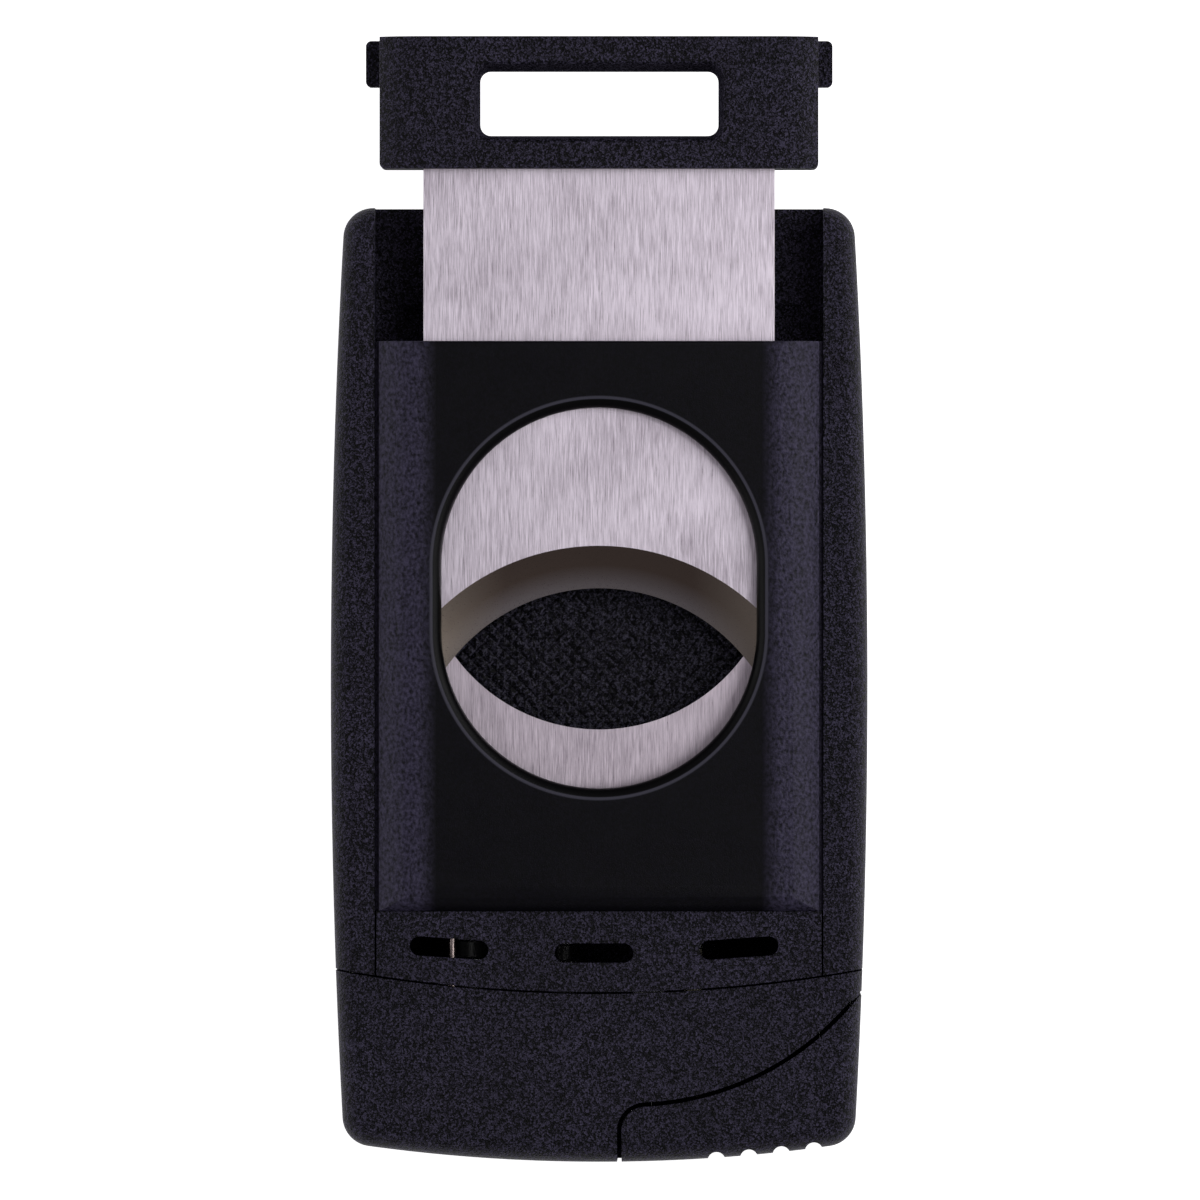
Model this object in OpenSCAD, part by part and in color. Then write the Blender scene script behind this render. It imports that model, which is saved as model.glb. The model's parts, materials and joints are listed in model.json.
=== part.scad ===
// Pocket torch lighter with a pull-out double-guillotine cutter.
// It lies on its back: Z = 0 is the rear face, +Z the front, +Y the pull end. Millimetres.

/* [Body] */
// Width of the body across its middle
body_w = 43; // [41:0.5:52]
// Length of the body from the crown to the pull end
body_l = 76.4; // [72:0.2:92]
// Thickness from the rear face to the front of the rails
body_t = 19; // [18:0.5:24]
// Radius of the long bowed sides
side_r = 640; // [300:10:900]
// Radius of the crown at the burner end
crown_r = 136; // [90:1:200]
// Radius of the four corners, seen from the front
corner_r = 2.4; // [2:0.1:4]
// Radius of the front edge
front_fillet = 1.8; // [1:0.1:1.9]
// Radius of the rear edge
back_fillet = 1.4; // [0.8:0.1:1.5]
// Wall of the shells
wall = 1.2; // [1:0.1:1.5]
// Thickness of the rear cover
rear_t = 1.6; // [1.5:0.1:2]
// Width of each side rail at the middle
rail_w = 3.55; // [3.4:0.05:4.5]

/* [Hood and lid] */
// Length of the hood along the middle
hood_l = 13.64; // [13:0.1:16]
// Radius of the joint line between the hood and the body
joint_r = 120; // [90:5:200]
// Width of the joint line
joint_gap = 0.16; // [0.08:0.02:0.2]
// Width of the line between the lid and the hood
lid_gap = 0.36; // [0.3:0.02:0.5]
// Place of the lid's free end, right of the middle
lid_x = 1.62; // [1:0.1:3]
// Radius of the lid's long hollow edge
lid_r = 22.96; // [22:0.1:24]
// Radius of the lid's inner corner
lid_corner_r = 2.1; // [1.5:0.1:2.5]
// Distance of the lid's hinge from the body's side
hinge_inset = 1.44; // [1.4:0.01:1.5]
// Radius of the hinge pin
hinge_pin_r = 0.5; // [0.4:0.05:0.55]
// Number of thumb notches
notch_n = 4; // [2:1:5]
// Spacing of the thumb notches
notch_pitch = 2.6; // [2.2:0.1:3]
// Radius of a thumb notch
notch_r = 0.7; // [0.5:0.05:0.9]

/* [Neck] */
// Length of the vent panel along the middle
neck_l = 6.46; // [6:0.1:8]
// Length of a vent slot
vent_l = 6.3; // [5:0.1:7]
// Width of a vent slot
vent_w = 1.55; // [1:0.05:2]
// Spacing of the vent slots
vent_pitch = 11.6; // [10:0.1:12]
// Width of the seam between the vent panel and each rail
seam_w = 0.14; // [0.08:0.02:0.2]

/* [Cutter] */
// Depth of the recess below the front of the rails
recess_depth = 5.5; // [5.2:0.1:6]
// Length of the open recess that the handle closes into
recess_open = 10.7; // [10.7:0.1:12]
// Diameter of the eye, for a 64 ring
eye_d = 25.2; // [22:0.1:25.6]
// How much longer than wide the eye is
eye_stretch = 5.26; // [3:0.1:7]
// Width of the eye's bevelled rim
eye_rim = 0.9; // [0.5:0.1:1]
// Place of the eye above the middle of the cover plate
eye_offset = 2.23; // [1:0.1:3]
// Height of the cover plate above the rails
plate_rise = 1.5; // [1:0.1:2]
// Width of the cover plate's flat middle
plate_flat_w = 28; // [24:0.5:30]
// Drop of the cover plate's round flanks
flank_drop = 1.4; // [1:0.1:1.5]
// Width of the blades
blade_w = 28.1; // [27.8:0.1:29]
// Thickness of a blade
blade_t = 0.9; // [0.7:0.05:1]
// Radius of the upper blade's edge
upper_edge_r = 15; // [14.6:0.1:16]
// Radius of the lower blade's edge
lower_edge_r = 14.3; // [14.2:0.1:15]
// Width of the ground bevel
bevel_w = 3.4; // [2:0.1:3.5]
// How far the slide is pulled out of its closed place
pull = 13.7; // [10:0.1:16]
// Clear lens between the two edges, at this pull
lens_h = 11.31; // [8:0.1:13]
// Height of the pad above the tray
pad_t = 1.1; // [0.8:0.1:1.4]

/* [Handle] */
// Width of the handle
handle_w = 35.1; // [34:0.1:35.3]
// Length of the handle along the pull
handle_l = 10.55; // [10.5:0.05:10.6]
// Width of the finger window
window_w = 20; // [16:0.5:20.5]
// Height of the finger window
window_h = 6.04; // [5:0.1:6.2]
// Corner radius of the finger window
window_r = 1.3; // [0.8:0.1:2]
// Reach of the ears past the handle's sides
ear_reach = 1.15; // [0.8:0.05:1.3]
// Length of an ear along the pull
ear_l = 3.7; // [3:0.1:4.5]

/* [Fuel and ignition] */
// Radius of the igniter's barrel
igniter_r = 3; // [2.5:0.1:3.2]
// Length of the igniter's barrel
igniter_l = 25; // [20:0.5:27]
// Wall of the fuel tank
tank_wall = 1; // [0.8:0.1:1.2]
// Radius of the filler port's bore
port_r = 1.2; // [0.9:0.05:1.3]
// Depth of the filler port's bore
port_depth = 2; // [1.5:0.1:2.4]
// Radius of the flame adjuster's disc
adjuster_r = 2.5; // [2:0.1:2.8]
// Number of gas jets
jet_n = 3; // [1:1:3]
// Spacing of the gas jets
jet_pitch = 3.2; // [3:0.1:3.3]

/* [Clearances] */
// Clearance round parts that turn
turn_clear = 0.03; // [0.02:0.01:0.06]
// Clearance round parts that slide
slide_clear = 0.05; // [0.03:0.01:0.08]
// Gap between parts laid side by side
part_gap = 0.05; // [0.04:0.01:0.1]

/* [Hidden] */
$fn = 48;
eps = 0.01;
big_fn = 240;

// Body levels and edges
half_l = body_l / 2;
floor_z = body_t - recess_depth;
cavity_top = floor_z - wall;
cavity_mid = (rear_t + cavity_top) / 2;
plate_top = body_t + plate_rise;
recess_x = body_w / 2 - rail_w;
cavity_x = recess_x - wall;
joint_c = [0, joint_r + hood_l - half_l];
recess_end = -half_l + hood_l + neck_l;
plate_end = half_l - recess_open;

// Outline of the body: centres of its arcs, then the angles where they meet
side_c = [body_w / 2 - side_r, 0];
crown_c = [0, crown_r - half_l];
top_corner_y = half_l - corner_r;
top_corner = [side_c[0] + sqrt(pow(side_r - corner_r, 2) - pow(top_corner_y, 2)), top_corner_y];
low_corner = lower_meet(side_c, side_r - corner_r, crown_c, crown_r - corner_r);
side_low_a = atan2(low_corner[1], low_corner[0] - side_c[0]);
side_top_a = atan2(top_corner[1], top_corner[0] - side_c[0]);
crown_a = atan2(low_corner[1] - crown_c[1], low_corner[0] - crown_c[0]);

// Lid: the hollow edge's centre, the inner corner's centre, the hinge, and the lid's tip
lid_edge_rise = 4.62;
hinge_drop = 1.08;
tip_drop = 0.75;
lid_c = [lid_x + 1, -half_l + lid_edge_rise + lid_r];
lid_corner = [
  lid_x + lid_corner_r,
  lid_c[1] - sqrt(pow(lid_r + lid_corner_r, 2) - pow(lid_x + lid_corner_r - lid_c[0], 2))
];
hinge_y = joint_c[1] - sqrt(pow(joint_r, 2) - pow(body_w / 2 - hinge_inset, 2)) - hinge_drop;
hinge_x = side_c[0] + sqrt(pow(side_r, 2) - pow(hinge_y, 2)) - hinge_inset;
hinge = [hinge_x, hinge_y];
lid_tip_y = hinge_y - tip_drop;
hood_boss_r = hinge_inset + 0.01;
lid_hollow_r = hood_boss_r + 0.1;
knuckle_r = hinge_pin_r + 0.45;
knuckle_z = 5.2;
bracket_t = 1.5;
rocker_z = cavity_top - 0.1;
slot_z = 2.9;
slot_top = rocker_z + bracket_t + 0.4;
slot_reach = 7;
pin_l = body_t - wall - 0.6;
nose_reach = 4.7;
nose_low = 0.75;
nose_high = 0.3;
tail_x0 = hinge_x - 1.9;
tail_w = 1.6;
tail_l = 8;
cap_rivet_r = 0.5;
cap_rivet_spots = [for (y = [4.6, 7]) [hinge_x - 1.05, hinge_y - y]];
lap_x = lid_x + 0.9;
lap_w = 2.1;
lap_top = lid_corner[1] + lid_corner_r + 0.4;
lap_arm_h = 1.2;
lap_z = body_t / 2;
first_notch_x = 9.4;
notch_sink = 0.2;

// Vent slots, on an arc above the joint line
vent_x = -0.4;
vent_y = recess_end - 3.34;
vent_rise = 0.4;
vent_tilt = 4;

// Stepped groove across the recess floor, and the ledges that the handle rests on
groove_x = recess_x - 1.75;
groove_y = plate_end + 1.1;
groove_w = 1.9;
groove_depth = 0.35;
groove_step = 0.45;
groove_step_y = 0.6;
groove_step_w = 1;
ledge_reach = 0.45;
ledge_rise = 0.8;
ledge_l = 6.7;

// Screws in the rear face
screw_r = 0.9;
screw_l = 6;
screw_head_r = 1.6;
screw_head_t = 0.8;
screw_sink = 0.15;
boss_r = 1.9;
boss_web = 0.6;
hood_boss_screw_r = 2.2;
screw_x = cavity_x - 1.4;

// Chassis floor under the burner, which also carries the rocker's pin
burner_x = 9;
burner_w = 9.6;
chassis_t = 0.9;
chassis_top = rear_t + chassis_t;
chassis_x0 = -cavity_x - 0.2;
chassis_x1 = burner_x + burner_w / 2 + 0.2;
chassis_end = -half_l + 5.2;

// Burner, jets and their guard
burner_h = cavity_top - 0.8 - chassis_top;
burner_top_y = hinge_y - 3.95;
burner_l = 6.5;
jet_r = 1.3;
jet_l = 1.4;
jet_z = chassis_top + burner_h / 2;
guard_t = 0.4;
guard_y = burner_top_y - burner_l - jet_l;
lap_arm_x = burner_x - burner_w / 2 - part_gap;
jet_spots = [for (i = [0:jet_n - 1]) burner_x + (i - (jet_n - 1) / 2) * jet_pitch];

// Igniter and valve, with the rocker that presses both
igniter_x = -recess_x + 6.95;
plunger_r = 1.6;
plunger_head_r = 2.2;
plunger_head_t = 0.8;
plunger_travel = 4.3;
coil_r = 1.93;
coil_wire_r = 0.22;
clip_l = 1.5;
igniter_end = recess_end + 1.1;
valve_x = -3;
valve_r = 2.2;
valve_l = 5.5;
stem_r = 0.8;
valve_end = recess_end + 0.6;
rocker = [4, hinge_y - 2.05];
rocker_pin_r = 0.8;
rocker_arm_up = 0.8;
rocker_arm_down = 0.6;
rocker_right = hinge_x - 2.6;
tab_w = 2.4;
valve_tab_w = 1.6;
press_gap = 0.3;
press_y = rocker[1] + rocker_arm_up + press_gap;
tube_r = 0.75;
tube_socket = 0.8;
tube_x = burner_x - 1.5;
tube_y = valve_end + 2.3;
bend_swell = 0.03;

// Ignition lead, from the igniter's end to the jets
wire_r = 0.35;
wire_x = igniter_x - 0.8;
wire_low_z = cavity_top - 1.6;
wire_high_z = body_t - 3.6;
wire_turn_y = recess_end - wall - 0.65;
wire_points = [
  [wire_x, igniter_end - wire_r, wire_low_z],
  [wire_x, wire_turn_y, wire_low_z],
  [wire_x, wire_turn_y, wire_high_z],
  [wire_x, hinge_y - 0.6, wire_high_z],
  [burner_x - 1, burner_top_y - 3, wire_high_z],
  [burner_x - 1, guard_y - guard_t - 0.4, wire_high_z - 2]
];

// Tank, with its foot end at the port wall
tank_x = cavity_x - 0.4;
tank_low_z = rear_t + 0.4;
tank_top_z = cavity_top - 0.2;
tank_arm_x = igniter_x + igniter_r + 0.7;
tank_arm_y = valve_end + valve_l;
tank_shoulder_y = igniter_end + igniter_l + 1;
end_wall = 1.3;
tank_cap_t = 1.1;
tank_end_y = half_l - end_wall - part_gap - tank_cap_t;
neck_screw_y = recess_end - 2.4;
top_screw_y = tank_end_y - 1.6;
rear_screw_spots = [for (s = [-1, 1]) for (y = [neck_screw_y, top_screw_y]) [s * screw_x, y]];
hood_screw_spots = [for (x = [-cavity_x + 3.2, -3.2]) [x, -half_l + 7.6]];
tank_notch = boss_r + 1.95;
port_x = 7;
valve_body_r = 2;
adjuster_x = -7;
adjuster_stem_r = 1;

// Cutter levels, from the tray up
tray_t = 1.5;
tray_top = floor_z + tray_t;
plate_z = body_t - 0.5;
upper_blade_z = plate_z - slide_clear - blade_t;
lower_blade_z = upper_blade_z - slide_clear - blade_t;
blade_x = blade_w / 2;
guide_x = blade_x + slide_clear;
ledge_w = 0.9;
plate_w = 2 * (recess_x - 0.35);
flat_x = plate_flat_w / 2;
flank_w = plate_w / 2 - flat_x;
flank_r = (pow(flank_w, 2) + pow(flank_drop, 2)) / (2 * flank_drop);
roll_w = 2.1;
roll_r = (pow(roll_w, 2) + pow(flank_drop, 2)) / (2 * flank_drop);
eye_y = (plate_end + recess_end) / 2 + eye_offset;
eye_r = eye_d / 2;
eye_low_y = eye_y - eye_stretch / 2;
eye_high_y = eye_y + eye_stretch / 2;
apex_rise = 4.73;
lower_apex_y = eye_low_y - eye_r + apex_rise;
upper_apex_y = lower_apex_y + lens_h;
upper_c = [0, upper_apex_y - upper_edge_r];
lower_c = [0, lower_apex_y + lower_edge_r];
lower_tip_y = lower_c[1] - sqrt(pow(lower_edge_r, 2) - pow(blade_x, 2));
lower_bevel_w = 2;
edge_land = 0.1;
pad_x = guide_x - ledge_w - 0.1;
lower_rivet_r = 0.9;
lower_rivet_spots = [for (s = [-1, 1]) [s * 8, recess_end + 2.8]];
cover_screw_r = 0.6;
cover_screw_head_r = 1.1;
cover_screw_spots = [for (s = [-1, 1]) for (y = [recess_end + 3.6, plate_end - 3.5])
  [s * (guide_x + recess_x) / 2, y]];

// Handle, drawn at its pulled place
handle_x = handle_w / 2;
handle_top_y = half_l - part_gap + pull;
handle_y = handle_top_y - handle_l;
handle_z = floor_z + 1;
ear_t = 2;
ear_top_y = handle_top_y - 0.25;
ear_x = handle_x + ear_reach;
window_y = handle_y + 2.3;
window_draft = 0.45;
blade_root = 2;
tab_x = window_w / 2 + 0.6;
tab_top_y = window_y + 4.6;
handle_rivet = [(tab_x + blade_x) / 2, window_y + 2.4];
handle_rivet_r = 0.8;
ear_clear = 0.2;

// A point at an angle on a circle, and arcs of such points
function on_circle(c, r, a) = [c[0] + r * cos(a), c[1] + r * sin(a)];
function arc_from(c, r, a0, a1, n, first) = [for (i = [first:n]) on_circle(c, r, a0 + (a1 - a0) * i / n)];

// Where two circles meet, on the lower right
function lower_meet(c1, r1, c2, r2) =
  let(
    d = norm(c2 - c1),
    u = (c2 - c1) / d,
    a = (d * d + r1 * r1 - r2 * r2) / (2 * d),
    h = sqrt(r1 * r1 - a * a)
  )
  c1 + a * u + h * [u[1], -u[0]];

// Right half of the outline from the crown to the pull end, then the whole outline
function half_outline(inset) = concat(
  arc_from(crown_c, crown_r - inset, -90, crown_a, 7, 0),
  arc_from(low_corner, corner_r - inset, crown_a, side_low_a, 6, 1),
  arc_from(side_c, side_r - inset, side_low_a, side_top_a, 10, 1),
  arc_from(top_corner, corner_r - inset, side_top_a, 90, 6, 1)
);
function outline(inset) =
  let(h = half_outline(inset))
  concat(h, [for (i = [len(h) - 1:-1:1]) [-h[i][0], h[i][1]]]);

// Insets and heights of the body's layers, round both edges
layers = concat(
  [for (t = [0:30:90]) [back_fillet * (1 - sin(t)), back_fillet * (1 - cos(t))]],
  [for (t = [90:-22.5:0]) [front_fillet * (1 - sin(t)), body_t - front_fillet * (1 - cos(t))]]
);
ring_n = len(outline(0));

// Places of the thumb notches across the lid, and the crown's edge there
function notch_x(i) = first_notch_x + i * notch_pitch;
function crown_y(x) = crown_c[1] - sqrt(pow(crown_r, 2) - pow(x, 2));

// The whole outer form with both edges rounded
module envelope() {
  last = (len(layers) - 1) * ring_n;
  polyhedron(
    points = [for (l = layers) for (p = outline(l[0])) [p[0], p[1], l[1]]],
    faces = concat(
      [[for (i = [0:ring_n - 1]) i]],
      [[for (i = [ring_n - 1:-1:0]) last + i]],
      [for (k = [0:len(layers) - 2]) for (i = [0:ring_n - 1])
        let(a = k * ring_n + i, b = k * ring_n + (i + 1) % ring_n)
        [a, a + ring_n, b + ring_n, b]]
    )
  );
}

// A slab between two heights
module slab(z0, z1) {
  translate([0, 0, z0]) linear_extrude(z1 - z0) children();
}

// A box given by two opposite corners
module block(a, b) {
  translate(a) cube(b - a);
}

// A rod along Y, from y0 to y1
module rod_y(x, z, y0, y1, r) {
  translate([x, y0, z]) rotate([-90, 0, 0]) cylinder(r = r, h = y1 - y0);
}

// Rings of round wire along Y, as a close coil looks
module coil_y(x, z, y0, y1, r, wire_r, n) {
  for (i = [0:n - 1]) {
    translate([x, y0 + wire_r + (y1 - y0 - 2 * wire_r) * i / (n - 1), z]) rotate([90, 0, 0])
      rotate_extrude() translate([r, 0]) circle(r = wire_r, $fn = 16);
  }
}

// Everything above the joint line, less a margin
module above_joint(margin) {
  translate(joint_c) circle(r = joint_r - margin, $fn = big_fn);
}

// The lid's area seen from the front, grown by g
module lid_area(g) {
  difference() {
    translate([lid_x - g, -half_l - 5]) square([body_w, lid_tip_y + g + half_l + 5]);
    translate(lid_c) circle(r = lid_r - g, $fn = big_fn);
    difference() {
      translate([lid_x - g - eps, lid_corner[1]]) square([lid_corner_r + g + eps, 2 * lid_corner_r]);
      translate(lid_corner) circle(r = lid_corner_r + g);
    }
  }
}

// The hood's post behind the lid's free end and its arm under the lid's corner, grown by g
module lap_area(g) {
  lap_x0 = lap_x - lap_w - g;
  translate([lap_x0, -half_l - 1]) square([lap_w + 2 * g, lap_top + half_l + 1 + g]);
  translate([lap_x0, lap_top - lap_arm_h - g]) square([lap_arm_x + g - lap_x0, lap_arm_h + 2 * g]);
}

// Cross-section of the cover plate and the handle: flat middle, round flanks
module flanked_profile(half_w, z0) {
  intersection() {
    translate([-half_w, z0]) square([2 * half_w, plate_top - z0 + 1]);
    union() {
      translate([-flat_x, z0]) square([2 * flat_x, plate_top - z0]);
      for (s = [-1, 1]) {
        translate([s * flat_x, plate_top - flank_r]) circle(r = flank_r, $fn = 96);
      }
    }
  }
}

// A bar of that cross-section from y0 to y1
module flanked_bar(half_w, z0, y0, y1) {
  translate([0, y1, 0]) rotate([90, 0, 0]) linear_extrude(y1 - y0) flanked_profile(half_w, z0);
}

// A pan-head screw or rivet from its head's face at z, pointing up
module fastener(p, z, head_r, head_t, r, l) {
  translate([p[0], p[1], z]) cylinder(r = head_r, h = head_t);
  translate([p[0], p[1], z]) cylinder(r = r, h = l);
}

// Pocket and bore for a screw in the rear face
module screw_pocket(p) {
  translate([p[0], p[1], -eps]) cylinder(r = screw_head_r + part_gap, h = screw_sink + screw_head_t + eps);
  translate([p[0], p[1], -eps]) cylinder(r = screw_r + part_gap, h = rear_t + 0.2);
}

module main_body() color("#1d1c22") {
  difference() {
    union() {
      difference() {
        union() {
          slab(rear_t, floor_z) intersection() {
            translate([-recess_x, -half_l]) square([2 * recess_x, body_l]);
            above_joint(0);
          }
          slab(rear_t, body_t) intersection() {
            translate([seam_w - recess_x, -half_l]) square([2 * (recess_x - seam_w), recess_end + half_l]);
            above_joint(0);
          }
        }
        block([-cavity_x, -half_l, rear_t - eps], [cavity_x, half_l - end_wall, cavity_top]);
        block([-cavity_x, -half_l, rear_t], [cavity_x, recess_end - wall, body_t - wall]);
      }
      for (p = rear_screw_spots) {
        web_x = sign(p[0]) * (cavity_x + 0.2);
        translate([p[0], p[1], rear_t]) cylinder(r = boss_r, h = cavity_top + 0.1 - rear_t);
        block([min(p[0], web_x), p[1] - boss_web, rear_t],
          [max(p[0], web_x), p[1] + boss_web, cavity_top + 0.1]);
      }
      block([chassis_x0, chassis_end, rear_t], [chassis_x1, hinge_y - 0.6, chassis_top]);
      block([-cavity_x - eps, hinge_y - 0.6 - eps, rear_t], [cavity_x + eps, recess_end - 0.4, chassis_top]);
      for (y = [igniter_end + 4, igniter_end + 20]) {
        block([igniter_x - igniter_r - 0.3, y, cavity_mid + 1.2],
          [igniter_x + igniter_r + 0.3, y + clip_l, cavity_top + 0.1]);
      }
      for (s = [-1, 1]) {
        block([min(s * recess_x, s * (recess_x - ledge_reach)), plate_end + 0.2, floor_z - 0.2],
          [max(s * recess_x, s * (recess_x - ledge_reach)), plate_end + 0.2 + ledge_l, floor_z + ledge_rise]);
      }
    }
    // Vent slots on an arc above the joint line
    for (i = [-1, 0, 1]) {
      translate([vent_x + i * vent_pitch, vent_y + vent_rise * abs(i), body_t - wall - eps])
        rotate([0, 0, vent_tilt * i]) slab(0, wall + 2 * eps) {
          square([vent_l - vent_w, vent_w], center = true);
          for (s = [-1, 1]) {
            translate([s * (vent_l - vent_w) / 2, 0]) circle(r = vent_w / 2);
          }
        }
    }
    // Stepped groove across the recess floor
    block([-groove_x, groove_y, floor_z - groove_depth], [groove_x, groove_y + groove_w, floor_z + 0.5]);
    block([groove_step - groove_x, groove_y + groove_step_y, floor_z - 2 * groove_depth],
      [groove_x - groove_step, groove_y + groove_step_y + groove_step_w, floor_z]);
    // Seat for the igniter's barrel
    rod_y(igniter_x, cavity_mid, igniter_end - 1, igniter_end + igniter_l + 1, igniter_r);
    // Filler and adjuster holes in the end wall
    rod_y(port_x, cavity_mid, half_l - end_wall - 0.1, half_l + 0.1, valve_body_r + part_gap);
    rod_y(adjuster_x, cavity_mid, half_l - end_wall - 0.1, half_l + 0.1, adjuster_r + 2 * part_gap);
    for (p = rear_screw_spots) {
      translate([p[0], p[1], rear_t - eps]) cylinder(r = screw_r, h = screw_l);
    }
    for (p = hood_screw_spots) {
      translate([p[0], p[1], rear_t - eps]) cylinder(r = screw_r, h = 2);
    }
    translate([rocker[0], rocker[1], rear_t - eps]) cylinder(r = rocker_pin_r, h = 3);
  }
}

module rail(s) {
  difference() {
    intersection() {
      envelope();
      slab(rear_t, body_t + 1) intersection() {
        translate([s > 0 ? recess_x : -body_w, -half_l]) square([body_w - recess_x, body_l + 1]);
        above_joint(0);
      }
    }
    // Notch that the handle's ear closes into
    notch_x0 = s > 0 ? recess_x - 1 : -ear_x - ear_clear;
    block([notch_x0, ear_top_y - pull - ear_l - ear_clear, handle_z - ear_clear],
      [notch_x0 + ear_x + ear_clear - recess_x + 1, half_l + 1, handle_z + ear_t + ear_clear]);
  }
}

module left_rail() color("#1c1b22") rail(-1);

module right_rail() color("#1c1b22") rail(1);

module rear_cover() color("#1b1a20") {
  difference() {
    intersection() {
      envelope();
      slab(-1, rear_t) above_joint(0);
    }
    for (p = rear_screw_spots) {
      screw_pocket(p);
    }
  }
}

module rear_screws() color("#3a3a3e") {
  for (p = rear_screw_spots) {
    difference() {
      fastener(p, screw_sink, screw_head_r, screw_head_t, screw_r, screw_l);
      cross_recess([p[0], p[1], screw_sink]);
    }
  }
}

// Cross recess in a screw's head, open downwards
module cross_recess(p) {
  translate(p) for (a = [0, 90]) {
    rotate([0, 0, a]) translate([-0.9, -0.16, -0.5]) cube([1.8, 0.32, 0.95]);
  }
}

module hood() color("#1b1a20") {
  difference() {
    union() {
      difference() {
        intersection() {
          envelope();
          slab(-1, body_t + 1) difference() {
            translate([-body_w, -half_l - 1]) square([2 * body_w, half_l]);
            above_joint(-joint_gap);
            difference() {
              lid_area(lid_gap / 2);
              translate(hinge) circle(r = hood_boss_r);
            }
          }
        }
        slab(wall, body_t - wall) difference() {
          polygon(outline(wall));
          translate(hinge) circle(r = hood_boss_r);
        }
      }
      for (p = hood_screw_spots) {
        translate([p[0], p[1], wall / 2]) cylinder(r = hood_boss_screw_r, h = rear_t - wall / 2);
      }
      // Post behind the line where the lid's free end meets the hood
      intersection() {
        envelope();
        slab(-1, lap_z) lap_area(0);
      }
    }
    // Slot that the lid's knuckle and bracket turn in
    slab(slot_z, slot_top) {
      translate([hinge_x - slot_reach, hinge_y - slot_reach])
        square([slot_reach + knuckle_r + 0.1, slot_reach + nose_high]);
      translate(hinge) circle(r = knuckle_r + 0.15);
    }
    translate([hinge_x, hinge_y, wall / 2]) cylinder(r = hinge_pin_r, h = pin_l);
    for (p = hood_screw_spots) {
      screw_pocket(p);
    }
  }
}

module hood_screws() color("#3a3a3e") {
  for (p = hood_screw_spots) {
    difference() {
      fastener(p, screw_sink, screw_head_r, screw_head_t, screw_r, chassis_top - screw_sink);
      cross_recess([p[0], p[1], screw_sink]);
    }
  }
}

module hinge_pin() color("silver") {
  translate([hinge_x, hinge_y, wall / 2]) cylinder(r = hinge_pin_r, h = pin_l);
}

module flap_spring() color("silver") {
  for (i = [0:3]) {
    translate([hinge_x, hinge_y, slot_z + 0.3 + 0.5 * i]) rotate_extrude() translate([hinge_pin_r + 0.25, 0])
      circle(r = 0.2, $fn = 16);
  }
}

module flip_cap() color("#201f26") {
  difference() {
    intersection() {
      envelope();
      slab(-1, body_t + 1) difference() {
        lid_area(-lid_gap / 2);
        translate(hinge) circle(r = lid_hollow_r);
      }
    }
    slab(wall, body_t - wall) polygon(outline(wall));
    // Room for the hood's post
    slab(-1, lap_z + lid_gap / 2) lap_area(lid_gap);
    // Thumb notches across the crown
    for (i = [0:notch_n - 1]) {
      translate([notch_x(i), crown_y(notch_x(i)) - notch_sink, -1]) cylinder(r = notch_r, h = body_t + 2);
    }
  }
  // Knuckle on its arm, rooted in the side wall
  difference() {
    slab(knuckle_z, rocker_z) {
      translate(hinge) circle(r = knuckle_r);
      translate(hinge) rotate([0, 0, -120]) translate([0, -0.6]) square([2.9, 1.2]);
      translate([tail_x0, hinge_y - tail_l]) square([tail_w + 0.8, tail_l - 2]);
    }
    translate([hinge_x, hinge_y, 0]) cylinder(r = hinge_pin_r + turn_clear, h = body_t);
    for (p = cap_rivet_spots) {
      translate([p[0], p[1], rocker_z - 2]) cylinder(r = cap_rivet_r, h = 3);
    }
  }
}

// Steel plate on the knuckle, with the nose that presses the rocker
module cap_bracket() color("#3a3a3e") {
  difference() {
    slab(rocker_z, rocker_z + bracket_t) {
      translate(hinge) circle(r = knuckle_r);
      translate([hinge_x - nose_reach, hinge_y - nose_low]) square([nose_reach, nose_low + nose_high]);
      translate([tail_x0, hinge_y - tail_l]) square([tail_w, tail_l]);
    }
    translate([hinge_x, hinge_y, 0]) cylinder(r = hinge_pin_r + turn_clear, h = body_t);
    for (p = cap_rivet_spots) {
      translate([p[0], p[1], rocker_z - 1]) cylinder(r = cap_rivet_r, h = 3);
    }
  }
}

module cap_rivets() color("gray") {
  for (p = cap_rivet_spots) {
    translate([p[0], p[1], rocker_z - 2]) cylinder(r = cap_rivet_r, h = 2 + bracket_t);
    translate([p[0], p[1], rocker_z + bracket_t]) cylinder(r = cap_rivet_r + 0.25, h = 0.4);
  }
}

module cutter_bed() color("#121217") {
  difference() {
    union() {
      block([-recess_x + part_gap, recess_end + part_gap, floor_z],
        [recess_x - part_gap, plate_end, tray_top]);
      for (s = [-1, 1]) {
        x0 = s > 0 ? guide_x : part_gap - recess_x;
        ledge_x0 = s > 0 ? guide_x - ledge_w : -guide_x - eps;
        block([x0, recess_end + part_gap, tray_top - eps],
          [x0 + recess_x - part_gap - guide_x, plate_end, plate_z]);
        block([ledge_x0, recess_end + part_gap, tray_top - eps],
          [ledge_x0 + ledge_w + eps, plate_end, lower_blade_z]);
        block([ledge_x0, lower_tip_y + 0.2, tray_top - eps],
          [ledge_x0 + ledge_w + eps, plate_end, upper_blade_z - slide_clear]);
      }
      block([-guide_x, recess_end + part_gap, tray_top - eps],
        [guide_x, lower_apex_y - 9, lower_blade_z]);
    }
    for (p = lower_rivet_spots) {
      translate([p[0], p[1], floor_z - eps]) cylinder(r = lower_rivet_r, h = 6);
    }
    for (p = cover_screw_spots) {
      translate([p[0], p[1], floor_z - eps]) cylinder(r = cover_screw_head_r + part_gap, h = 1);
      translate([p[0], p[1], floor_z - eps]) cylinder(r = cover_screw_r, h = 6);
    }
  }
}

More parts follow.
